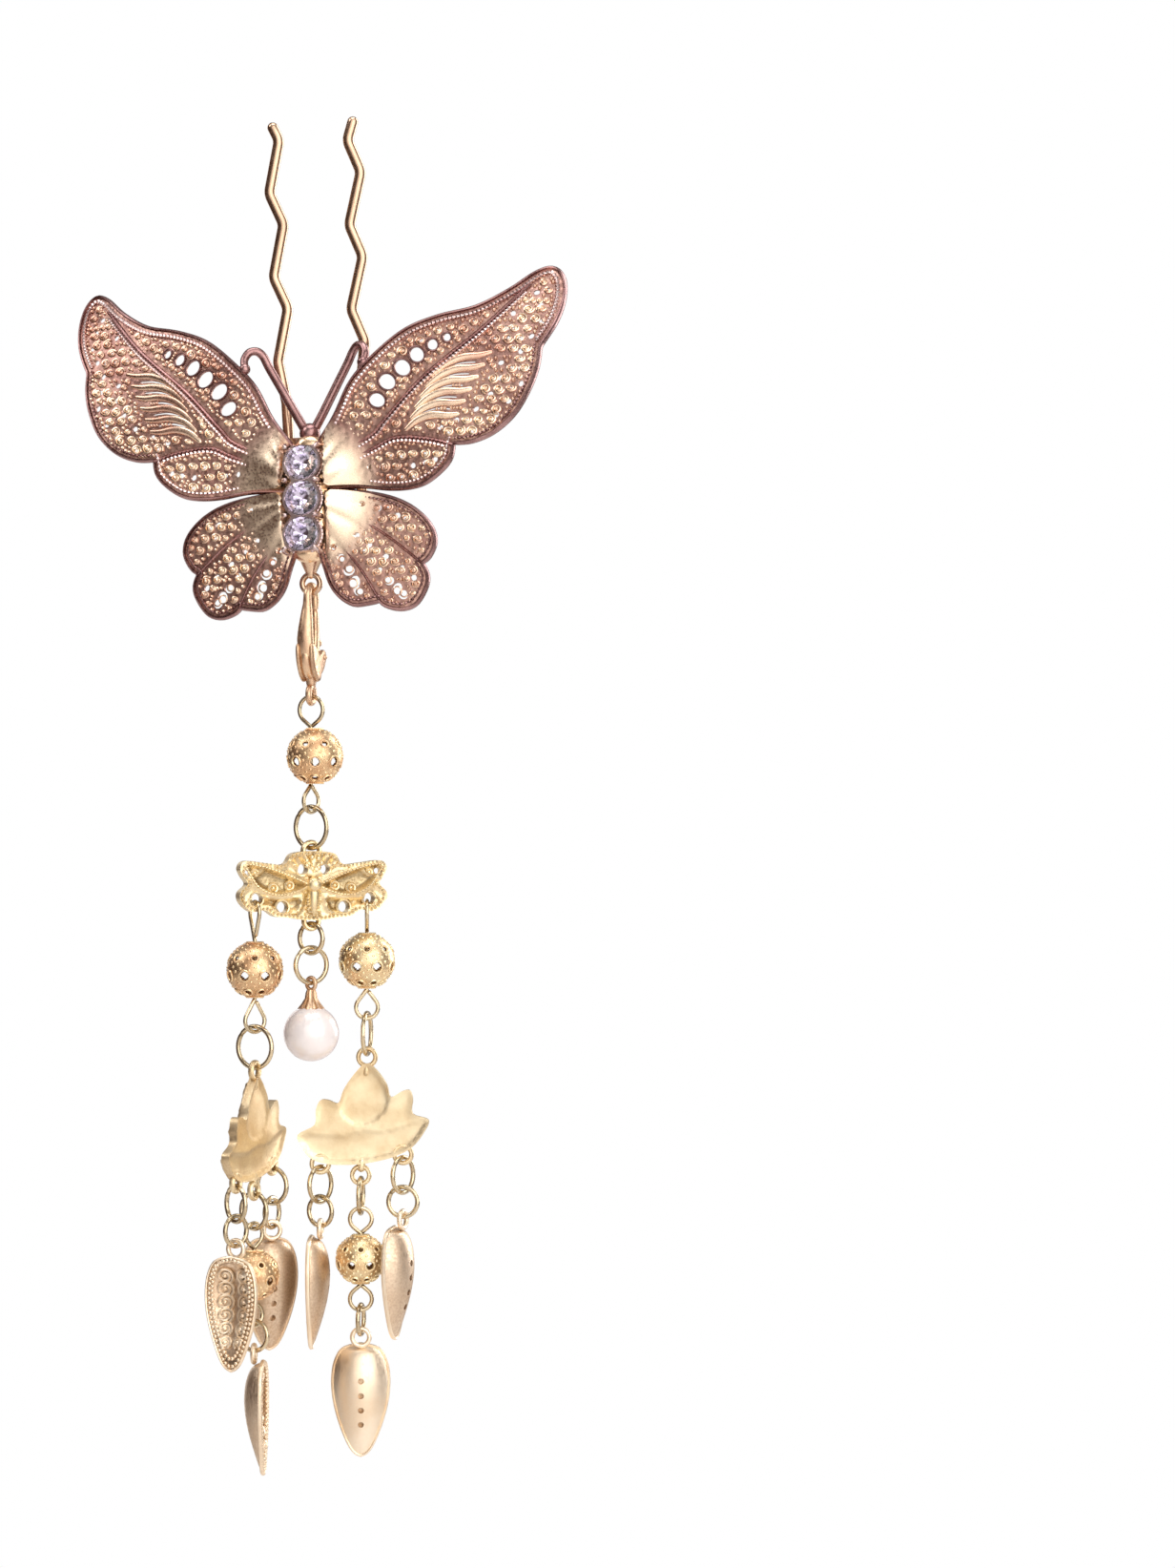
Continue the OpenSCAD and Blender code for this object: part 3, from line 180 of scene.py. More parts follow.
world = bpy.data.worlds.new("studio")
bpy.context.scene.world = world
world.use_nodes = True
world.node_tree.nodes["Background"].inputs["Color"].default_value = (1, 0.96, 0.95, 1)
world.node_tree.nodes["Background"].inputs["Strength"].default_value = 0.40
lit_middle = (0, 0, -0.05)
for name, place, wide, high, power, tint in (
        ("key", (0.52, -0.46, 0.18), 0.70, 0.85, 3.9, (1, 0.98, 0.95)),
        ("front", (0.22, -1.05, 0.16), 0.82, 0.96, 2.8, (1, 0.97, 0.93)),
        ("fill", (-0.55, -0.30, 0.52), 0.40, 0.40, 1.6, (1, 0.99, 0.98)),
        ("top", (0.05, -0.05, 0.58), 0.50, 0.35, 2.0, (1, 1, 1)),
        ("rim", (0.35, 0.50, 0.15), 0.30, 0.60, 2.5, (1, 1, 1)),
        ("back", (-0.40, 0.50, 0.0), 0.30, 0.50, 0.5, (1, 1, 1))):
    lamp = bpy.data.lights.new(name, "AREA")
    lamp.shape = "RECTANGLE"
    lamp.size, lamp.size_y, lamp.energy, lamp.color = wide, high, power, tint
    light = bpy.data.objects.new(name, lamp)
    light.location = place
    aim = Vector(lit_middle) - Vector(place)
    light.rotation_euler = aim.to_track_quat("-Z", "Y").to_euler()
    bpy.context.scene.collection.objects.link(light)

# ---------------------------------------------------------------- hairpin
# One brass wire, plated in warm gold, bent to a closed loop behind the butterfly and crimped
# into waves so that it holds in the hair. The tips are rounded.


def unit(v):
    """Vectors of length one: each one over its own length."""
    return v / np.linalg.norm(v, axis=-1, keepdims=True)


def capped(rows, sides):
    """Faces of rings closed at both ends by triangles to two more points, the last ones."""
    last = rows * sides
    around, after = np.arange(sides), (np.arange(sides) + 1) % sides
    first_tip, last_tip = 0 * around + last, 0 * around + last + 1
    return np.concatenate([grid_faces(rows, sides, False),
        np.stack([after, around, first_tip, first_tip], 1),
        np.stack([around + last - sides, after + last - sides, last_tip, last_tip], 1)])


def tube(path, radius, sides=12, closed=False, thick=1.0, across=(0, 1, 0)):
    """Wire along a path: rings of points at the radius, on axes square to the path, one of
    them as near as can be to the direction across, where the wire is thick times as deep.
    Open ends are rounded by three shrinking rings."""
    path = np.asarray(path, float)
    radius = np.broadcast_to(np.asarray(radius, float), len(path))
    thick = np.broadcast_to(np.asarray(thick, float), len(path))
    if closed:
        heading = unit(np.roll(path, -1, 0) - np.roll(path, 1, 0))
    else:
        heading = unit(np.gradient(path, axis=0))
        ends = np.array([[0.97], [0.7], [0.3]])
        shrink = np.sqrt(1 - ends[:, 0] ** 2)
        path = np.concatenate([
            path[:1] - ends * radius[0] * heading[:1], path,
            path[-1:] + ends[::-1] * radius[-1] * heading[-1:]])
        heading = np.concatenate([heading[[0, 0, 0]], heading, heading[[-1, -1, -1]]])
        radius = np.concatenate([shrink * radius[0], radius, shrink[::-1] * radius[-1]])
        thick = np.concatenate([thick[[0, 0, 0]], thick, thick[[-1, -1, -1]]])
    side = unit(np.cross(heading, np.broadcast_to(np.asarray(across, float), path.shape)))
    up = np.cross(side, heading)
    turn = np.arange(sides) * 2 * np.pi / sides
    points = (path[:, None] + (radius[:, None] * np.cos(turn))[..., None] * side[:, None]
        + (radius[:, None] * thick[:, None] * np.sin(turn))[..., None] * up[:, None])
    if closed:
        return points, grid_faces(len(path), sides, True)
    ends = np.stack([points[0].mean(0), points[-1].mean(0)])
    return np.concatenate([points.reshape(-1, 3), ends]), capped(len(path), sides)


grain_height, stamp_height = 0.00002, 0.00012


def metal(name, bright, dull, deep, roughness, mottle, grain, relief, cells=0, highlight_colour=None):
    """Plated metal: colour from a mottled noise between bright and dull, darker to deep where
    the recess attribute is high, which marks dark joints on some parts and painted shade on
    others, with fine grain in its roughness and bump. Where recess is below zero it turns
    smoother and takes the paler highlight colour, a painted highlight, if one is given, and
    the stamped round cells fade that a scale may add to it."""
    material, shader, feed, add = nodes_of(name)
    where = add("TexCoord").outputs["Object"]
    cloud = add("TexNoise", {"Vector": where, "Scale": mottle, "Detail": 3.0})
    ramp = add("ValToRGB", {"Fac": cloud.outputs["Fac"]})
    ramp.color_ramp.elements[0].position, ramp.color_ramp.elements[1].position = 0.36, 0.62
    ramp.color_ramp.elements[0].color = (*dull, 1)
    ramp.color_ramp.elements[1].color = (*bright, 1)
    fine = add("TexNoise", {"Vector": where, "Scale": grain, "Detail": 4.0})
    recess = add("Attribute", attribute_name="recess").outputs["Fac"]
    uneven = add("MapRange", {"Value": fine.outputs["Fac"], "From Min": 0.3, "From Max": 0.7,
        "To Min": 0.6, "To Max": 1.1})
    # Darkening by recess: dark joints on some parts, painted shade on others.
    darkening = add("Math", {0: recess, 1: uneven.outputs[0]}, operation="MULTIPLY")
    darkening.use_clamp = True
    shade = add("Mix", {0: darkening.outputs[0], 6: ramp.outputs["Color"], 7: (*deep, 1)},
        data_type="RGBA")
    gloss = add("MapRange", {"Value": fine.outputs["Fac"], "From Min": 0.3, "From Max": 0.7,
        "To Min": roughness * 0.7, "To Max": roughness * 1.4})
    # Where recess is below zero: smoother, and a paler painted highlight colour.
    if highlight_colour:
        polish_and_highlight = add("Math", {0: recess, 1: -1.0}, operation="MULTIPLY")
        polish_and_highlight.use_clamp = True
        shade = add("Mix", {0: polish_and_highlight.outputs[0], 6: shade.outputs[2], 7: (*highlight_colour, 1)},
            data_type="RGBA")
        gloss = add("Math", {0: polish_and_highlight.outputs[0], 1: -0.2 * roughness, 2: gloss.outputs[0]},
            operation="MULTIPLY_ADD")
    bump = add("Bump",
        {"Height": fine.outputs["Fac"], "Strength": relief, "Distance": grain_height})
    if cells:
        cell = add("TexVoronoi", {"Vector": where, "Scale": cells}, feature="SMOOTH_F1")
        shade_and_wear = add("Math", {0: polish_and_highlight.outputs[0], 1: -0.7, 2: 0.7}, operation="MULTIPLY_ADD")
        stamped = add("Bump", {"Height": cell.outputs["Distance"], "Distance": stamp_height,
            "Strength": shade_and_wear.outputs[0]}, invert=True)
        feed(bump, {"Normal": stamped.outputs[0]})
    feed(shader, {"Base Color": shade.outputs[2], "Roughness": gloss.outputs[0],
        "Normal": bump.outputs[0], "Metallic": 1.0})
    return material


pin_gold = metal("pin_gold", (0.66, 0.46, 0.32), (0.54, 0.36, 0.25), (0.2, 0.12, 0.08), 0.2,
    180, 1800, 0.04)
wave_swing, wave_bend, wave_len, wave_steep = 0.7, 1.6, 8.85, 0.38
leg_side, bend_drop, tip_rise, wave_start = 3.85, 28.0, 12.4, -17.0
splay, askew, pin_half = math.radians(0.9), math.radians(2.3), 0.58


def rounded(corners, bend):
    """Path through flat corners, each inner one replaced by an arc of the bend's radius that
    touches both its sides, in seven points."""
    corners = np.array(corners, float)
    path = [corners[0]]
    for before, here, after in zip(corners[:-2], corners[1:-1], corners[2:]):
        u, v = unit(here - before), unit(after - here)
        angle = math.acos(np.clip(u @ v, -1, 1))
        reach = bend * math.tan(angle / 2)
        side = np.sign(u[0] * v[1] - u[1] * v[0])
        middle = here - reach * u + side * bend * np.array([-u[1], u[0]])
        start = here - reach * u - middle
        turn = side * np.linspace(0, angle, 7)[:, None]
        path.extend(middle + np.cos(turn) * start + np.sin(turn) * np.array([-start[1], start[0]]))
    path.append(corners[-1])
    return np.array(path)


def upright(flat, depth=0.0):
    """Flat points of x and z stood up at a depth, which is y."""
    return np.stack([flat[:, 0], 0 * flat[:, 0] + depth, flat[:, 1]], 1)


def turning(angle, first, second):
    """Matrix that turns points from one axis towards another by an angle. Its rows are the
    turned axes."""
    matrix = np.eye(3)
    matrix[first, first] = matrix[second, second] = math.cos(angle)
    matrix[first, second], matrix[second, first] = math.sin(angle), -math.sin(angle)
    return matrix


def prong(side, first, phase):
    """One leg from the closed bend to its tip, in the plane y = 0: two corners to each wave,
    swung to either side in turn, a steep stretch apart and then a long one, all rounded."""
    corners = [(0, -bend_drop), (0, wave_start)]
    k = 0
    while True:
        z = wave_start + (phase + k // 2) * wave_len
        z += 0 if k % 2 == 0 else (wave_steep if first > 0 else 1 - wave_steep) * wave_len
        if z >= tip_rise - 1.5:
            break
        corners.append((first * (1 if k % 2 == 0 else -1) * wave_swing, z))
        k += 1
    x = corners[-1][0]
    corners.append((x - np.sign(x) * 0.9 * wave_swing, tip_rise - 0.4))
    path = rounded(corners, wave_bend)
    path = upright(path + (side * leg_side, bend_drop))
    return path @ turning(-side * splay, 0, 2) - (0, 0, bend_drop)


left_leg, right_leg = prong(-1, -1, 0.5), prong(1, 1, 0.68)
turn = np.linspace(math.pi + splay, 2 * math.pi - splay, 33)[1:-1]
under = np.stack([leg_side * np.cos(turn), 0 * turn, leg_side * np.sin(turn) - bend_drop], 1)
pin_path = np.concatenate([left_leg[::-1], under, right_leg])
pin_turn = turning(askew, 0, 2)
piece("hairpin_wire", [tube(pin_path @ pin_turn, pin_half, 18)], pin_gold, "pin",
    ["hairpin"])

# ---------------------------------------------------------------- butterfly wings
# Each wing is a thin sheet of rose gold, pierced and bent over a stake, framed by a round rim
# and veins with beaded wire beside them. Coils of flat wire and grains fill the fields.

leant = turning(math.radians(-7), 1, 2)
body_middle = np.array([0.4, -4.2, -27.4])


def from_butterfly(points):
    """World place of points in the butterfly's own frame: turned askew with the pin, leant
    back, and moved to the body's middle."""
    return body_middle + points @ pin_turn @ leant


def curve(table, steps, wide=1.0, high=1.0):
    """Smooth curve through a table of shares, by the cubic that passes through each point with
    half the chord of its neighbours as its slope."""
    points = np.array(table, float) * (wide, high)
    padded = np.concatenate([points[:1], points, points[-1:]])
    a, b, d, e = padded[:-3, None], padded[1:-2, None], padded[2:-1, None], padded[3:, None]
    t = (np.arange(steps) / steps)[None, :, None]
    path = 0.5 * (2 * b + (d - a) * t + (2 * a - 5 * b + 4 * d - e) * t ** 2
        + (3 * b - a - 3 * d + e) * t ** 3)
    return np.concatenate([path.reshape(-1, 2), points[-1:]])


def evenly(path, step):
    """The same path with its points a step apart along it, in two or three dimensions."""
    run = np.concatenate([[0], np.cumsum(np.linalg.norm(np.diff(path, axis=0), axis=1))])
    at = np.linspace(0, run[-1], max(3, int(round(run[-1] / step)) + 1))
    return np.stack([np.interp(at, run, path[:, k]) for k in range(path.shape[1])], 1)


def distance(points, path):
    """Distance of each flat point from a path: the least over its stretches."""
    a, b = path[:-1], path[1:]
    run = b - a
    share = ((points[:, None] - a) * run).sum(2) / np.maximum((run ** 2).sum(1), 1e-9)
    near = a + np.clip(share, 0, 1)[..., None] * run
    return np.linalg.norm(points[:, None] - near, axis=2).min(1)


def inside(points, loop):
    """Whether each flat point lies inside a closed loop, by counting the sides to its right."""
    a, b = loop, np.roll(loop, -1, 0)
    x, y = points[:, :1], points[:, 1:]
    crossed = (a[:, 1] > y) != (b[:, 1] > y)
    rise = np.where(np.abs(b[:, 1] - a[:, 1]) < 1e-9, 1e-9, b[:, 1] - a[:, 1])
    return ((crossed & (x < a[:, 0] + (y - a[:, 1]) * (b[:, 0] - a[:, 0]) / rise)).sum(1) % 2) == 1


def circle(centre, radius, sides=14):
    """Corners of a flat circle, evenly spaced."""
    turn = np.arange(sides) * 2 * np.pi / sides
    return np.array(centre) + radius * np.stack([np.cos(turn), np.sin(turn)], 1)


def looped(loop):
    """A loop with its first point once more at its end."""
    return np.concatenate([loop, loop[:1]])


def walls(faces, number):
    """Walls between a sheet's two skins, whose points are number apart in order: one along
    each edge that only one face has."""
    corners = faces.shape[1]
    sides = np.concatenate([faces[:, [k, (k + 1) % corners]] for k in range(corners)])
    key = np.sort(sides, 1) @ np.array([number, 1])
    _, first, count = np.unique(key, return_index=True, return_counts=True)
    rim = sides[first[count == 1]]
    return np.stack([rim[:, 1], rim[:, 0], rim[:, 0] + number, rim[:, 1] + number], 1)


def lattice(low, high, step):
    """Corners of even triangles, a step apart, over a flat box."""
    points = np.stack(np.meshgrid(np.arange(low[0], high[0], step),
        np.arange(low[1], high[1], step * 0.87)), -1)
    points[1::2, :, 0] += step / 2
    return points.reshape(-1, 2)


def casting(outline, holes, front, back, step):
    """Closed plate drawn in x and z: the outline, its holes and a lattice of points a step
    apart are joined to triangles, set at the depths of front and back, which are numbers or
    functions of the point, and closed by walls along all the edges."""
    field = lattice(outline.min(0) + (0, step / 2), outline.max(0) + (step, 0), step)
    loops = [outline] + list(holes)
    for k, loop in enumerate(loops):
        field = field[inside(field, loop) == (k == 0)]
        field = field[distance(field, looped(loop)) > 0.45 * step]
    edges, start = [], 0
    for loop in loops:
        number = np.arange(len(loop))
        edges.append(np.stack([number, np.roll(number, -1)], 1) + start)
        start += len(loop)
    flat = np.concatenate(loops + [field])
    found = delaunay_2d_cdt([Vector(p) for p in flat], np.concatenate(edges).tolist(), [], 0, 1e-6)
    flat = np.array([tuple(p) for p in found[0]])
    triangles = np.array([f for f in found[2] if len(f) == 3])
    middle = flat[triangles].mean(1)
    kept = inside(middle, outline)
    for loop in holes:
        kept &= ~inside(middle, loop)
    triangles = triangles[kept]
    number = len(flat)
    skins = [upright(flat, skin(flat) if callable(skin) else skin) for skin in (front, back)]
    return np.concatenate(skins), np.concatenate([triangles[:, [0, 1, 2, 2]],
        triangles[:, [1, 0, 2, 2]] + number, walls(triangles, number)])


def rope(path, radius, pitch, across=(0, 1, 0)):
    """Beaded wire: a tube whose radius swells once every pitch along its path."""
    path = evenly(path, pitch / 5)
    swell = radius * (0.72 + 0.28 * np.cos(np.arange(len(path)) * 2 * np.pi / 5))
    return tube(path, swell, 6, across=across)


def on_ball(radius, down, around):
    """Points of a ball at angles down from its top and around it."""
    return np.stack([radius * np.sin(down) * np.cos(around),
        radius * np.sin(down) * np.sin(around), radius * np.cos(down) + 0 * around], -1)


def grains(centres, radii, sides=7, rings=3):
    """Small balls: one ball of a few rings, scaled and moved to every centre at once."""
    down = np.linspace(0, np.pi, rings + 2)[1:-1, None]
    ball = on_ball(1, down, np.arange(sides) * 2 * np.pi / sides).reshape(-1, 3)
    ball = np.concatenate([ball, [[0, 0, 1], [0, 0, -1]]])
    centres = np.asarray(centres, float).reshape(-1, 3)
    radii = np.broadcast_to(np.asarray(radii, float), len(centres))
    points = centres[:, None] + radii[:, None, None] * ball
    faces = capped(rings, sides) + (np.arange(len(centres)) * len(ball))[:, None, None]
    return points.reshape(-1, 3), faces.reshape(-1, 4)


random = np.random.default_rng(7)


def scattered(outline, step, jitter):
    """Points of a lattice over an outline's box, each moved a little at random."""
    points = lattice(outline.min(0), outline.max(0), step)
    return points + random.uniform(-jitter, jitter, points.shape)


fore_reach, fore_rise, hind_reach, hind_fall = 26.6, 23.8, 13.6, 12.0
fore_lead = [(0.05, 0.22), (0.13, 0.34), (0.20, 0.49), (0.29, 0.60), (0.41, 0.71), (0.54, 0.77),
    (0.68, 0.81), (0.80, 0.89), (0.89, 0.975), (0.95, 1), (0.99, 0.95), (1, 0.85), (0.98, 0.74),
    (0.93, 0.625)]
fore_trail = [(0.93, 0.625), (0.925, 0.53), (0.90, 0.43), (0.85, 0.32), (0.775, 0.24),
    (0.69, 0.20), (0.61, 0.195)]
middle_lobe = [(0.61, 0.195), (0.60, 0.13), (0.565, 0.08), (0.50, 0.03), (0.43, 0.012),
    (0.34, 0.015), (0.22, 0.035), (0.05, 0.03)]
hind_outer = [(0.09, 0.03), (0.33, 0.03), (0.62, -0.03), (0.82, -0.13), (0.96, -0.28),
    (1, -0.43), (0.95, -0.56), (0.89, -0.61)]
hind_lower = [(0.89, -0.61), (0.93, -0.72), (0.91, -0.83), (0.83, -0.96), (0.72, -1),
    (0.61, -0.97), (0.56, -0.925)]
hind_inner = [(0.56, -0.925), (0.46, -0.945), (0.36, -0.95), (0.26, -0.88), (0.19, -0.77),
    (0.14, -0.60), (0.08, -0.42)]
fore_vein = [(0.05, 0.13), (0.27, 0.24), (0.34, 0.315), (0.485, 0.49), (0.70, 0.70), (0.87, 0.91)]
lobe_vein = [(0.05, 0.10), (0.27, 0.18), (0.38, 0.23), (0.52, 0.215), (0.61, 0.185)]
hind_veins = [[(0.09, -0.06), (0.33, -0.17), (0.62, -0.36), (0.89, -0.61)],
    [(0.08, -0.22), (0.28, -0.45), (0.44, -0.68), (0.56, -0.925)]]
costal_row = [(0.305, 0.40), (0.345, 0.48), (0.405, 0.54), (0.46, 0.597), (0.52, 0.64),
    (0.575, 0.672)]


def arched(p, heading, crest, level, inner, outer):
    """Depth of a sheet bent over a stake: an arc across the line at a heading in degrees, its
    crest that far along the line and at that level, of one radius up to it and one beyond."""
    angle = math.radians(heading)
    along = p[:, 0] * math.cos(angle) + p[:, 1] * math.sin(angle) - crest
    radius = np.where(along < 0, inner, outer)
    return level + radius - np.sqrt(radius ** 2 - along ** 2)


def fore_depth(p):
    """Depth of the forewing's sheet."""
    return arched(p, 50, 11.5, -1.7, 25.0, 42.0)


def hind_depth(p):
    """Depth of the hindwing's sheet."""
    return arched(p, -50, 5, -0.2, 45.0, 45.0)


def lifted(flat, depth, front):
    """A flat path laid on a sheet, that far in front of it."""
    return upright(flat, depth(flat) - front)


stone_side, fold_high, fold_turns, swell_reach = 1.75, 0.24, 6.5, 4.4


def pleats(p, swell, high):
    """A swell towards the body, a bell curve of the distance from a middle that high up, and
    the folds on it that fan out and die away outwards. Both end beside the stones."""
    angle, reach = np.arctan2(p[:, 1] + 0.4, p[:, 0]), np.linalg.norm(p, axis=1)
    folds = fold_high * np.sqrt(np.abs(np.sin(angle * fold_turns)))
    folds *= np.clip((8.5 - reach) / 4, 0, 1)
    bell = swell * np.exp(-(np.linalg.norm(p - (0, high), axis=1) / swell_reach) ** 2)
    return (folds + bell) * np.clip((p[:, 0] - stone_side) / 0.7, 0, 1)


# The web's and the rim's last colours are paler highlight colours: painted highlights at the wing
# roots and on the body.
rose_web = metal("rose_gold_web", (0.54, 0.33, 0.27), (0.35, 0.19, 0.16), (0.13, 0.07, 0.055),
    0.36, 300, 3800, 0.4, 1700, (1.0, 0.80, 0.60))
rose_rim = metal("rose_gold_rim", (0.40, 0.235, 0.225), (0.27, 0.145, 0.14), (0.10, 0.05, 0.05),
    0.28, 500, 3200, 0.1, highlight_colour=(0.96, 0.70, 0.46))
rose_bead = metal("rose_gold_beading", (0.97, 0.80, 0.78), (0.82, 0.60, 0.58),
    (0.25, 0.13, 0.1), 0.24, 900, 5000, 0.1)
warm_coil = metal("warm_gold_filigree", (0.95, 0.75, 0.56), (0.66, 0.38, 0.28),
    (0.22, 0.12, 0.07), 0.26, 150, 4200, 0.2)


def joined(tables, wide, high):
    """Outline made of curves end to end, each starting where the one before it ends."""
    paths = [curve(table, 5, wide, high) for table in tables]
    return np.concatenate([path[:-1] for path in paths[:-1]] + paths[-1:])


fore_outline = joined([fore_lead, fore_trail, middle_lobe], fore_reach, fore_rise)
hind_outline = joined([hind_outer, hind_lower, hind_inner], hind_reach, hind_fall)
fore_line = curve(fore_vein, 8, fore_reach, fore_rise)
lobe_line = curve(lobe_vein, 8, fore_reach, fore_rise)
hind_lines = [curve(v, 8, hind_reach, hind_fall) for v in hind_veins]
costal = curve(costal_row, 6, fore_reach, fore_rise)[::6]
costal_size = np.array([(0.74, 0.95), (0.80, 1.02), (0.80, 1.0), (0.74, 0.9), (0.56, 0.66),
    (0.42, 0.5)])
gap_rows = [([(0.90, 0.88), (0.93, 0.74), (0.86, 0.60), (0.87, 0.45), (0.78, 0.31)], 9),
    ([(0.82, 0.78), (0.78, 0.62), (0.79, 0.48), (0.70, 0.34), (0.56, 0.265)], 9),
    ([(0.27, 0.11), (0.42, 0.10), (0.54, 0.125)], 6)]
hind_rows = [([(0.45, -0.09), (0.72, -0.20), (0.88, -0.42)], 5),
    ([(0.40, -0.36), (0.62, -0.55), (0.83, -0.74)], 5),
    ([(0.50, -0.58), (0.64, -0.76), (0.74, -0.88)], 5),
    ([(0.22, -0.46), (0.33, -0.66), (0.40, -0.84)], 5)]


def gaps(tables, wide, high):
    """Places of the round gaps along each row: points evenly spaced in the table's share."""
    places = []
    for table, count in tables:
        path = curve(table, 24, wide, high)
        places.append(path[np.round(np.linspace(0, len(path) - 1, count)).astype(int)])
    return np.concatenate(places)


def ribs(k, more=0.0):
    """Middle line of comb slit k (0 to 4), longer by a share at both ends: it leaves the vein
    steeply and swings level outwards."""
    a = np.array([0.56, 0.52]) * (1 - k / 4) + np.array([0.48, 0.33]) * k / 4
    b = np.array([0.69, 0.555]) * (1 - k / 4) + np.array([0.60, 0.345]) * k / 4
    first = a - more * np.array([0.55, 0.50]) * (b - a)[0]
    table = [first, a, (a + b) / 2 + (0, 0.012), b, b + 0.5 * more * (b - a)]
    return curve(table, 5, fore_reach, fore_rise)


def strip(path, wide):
    """Closed outline of a band of the given width along a flat path, with pointed ends."""
    heading = unit(np.gradient(path, axis=0))
    across = np.stack([-heading[:, 1], heading[:, 0]], 1)
    half = wide / 2 * np.sqrt(np.sin(np.linspace(0.25, math.pi - 0.25, len(path))))[:, None]
    return np.concatenate([path + half * across, (path - half * across)[::-1]])


def oval(place, along, across, turn, sides=18):
    """Oval outline whose half length lies along a turn."""
    axes = np.array([[math.cos(turn), math.sin(turn)], [-math.sin(turn), math.cos(turn)]])
    return circle((0, 0), 1, sides) * (along, across) @ axes + place


def packed(outline, lines, keep_out, sizes):
    """Rounds packed in a wing's field, as rows of place and size: for each size in turn the
    points of a lattice twice as wide are kept that clear the outline, the lines and the
    places to keep out of by their clearances, and the larger rounds already there."""
    rounds = np.zeros((0, 3))
    for size in sizes:
        corner = outline - random.uniform(0, 2 * size, 2)
        points = scattered(corner, 2.05 * size, 0.1 * size)
        points = points[inside(points, outline)]
        points = points[distance(points, looped(outline)) > size + 0.2]
        for line, clear in lines:
            points = points[distance(points, line) > size + clear]
        for others in (keep_out, rounds):
            if len(others):
                near = np.linalg.norm(points[:, None] - others[None, :, :2], axis=2)
                points = points[(near - others[:, 2]).min(1) > size]
        rounds = np.concatenate([rounds, sized(points, size)])
    return rounds


def sized(places, radius):
    """Rows of place and size."""
    return np.column_stack([places, np.broadcast_to(radius, len(places))])


comb = [ribs(k, 0.7) for k in (-0.55, 0.5, 1.5, 2.5, 3.5, 4.55)]
fore_gaps = gaps(gap_rows, fore_reach, fore_rise)
hind_gaps = gaps(hind_rows, hind_reach, hind_fall)
hind_size = np.array([0.36] * 10 + [0.38, 0.44, 0.56, 0.66, 0.58, 0.42, 0.5, 0.66, 0.72, 0.58])
lead_end, trail_end = 65, 95
half_sheet, wire_lift, slit_wide, fine_wire = 0.22, 0.3, 0.2, 0.12


def coil(centre, size, depth, turn):
    """A flat coil of fine wire on the sheet: one and a half turns, growing from its middle,
    and more or less oval by the turn at which it starts."""
    angle = turn + np.linspace(0, 3.1 * math.pi, 17)
    radius = size * np.linspace(0.28, 1, 17)
    oval_share = 0.82 + 0.17 * math.cos(turn * 5)
    flat = centre + radius[:, None] * np.stack([np.cos(angle), oval_share * np.sin(angle)], 1)
    return tube(lifted(flat, depth, wire_lift), fine_wire, 5)


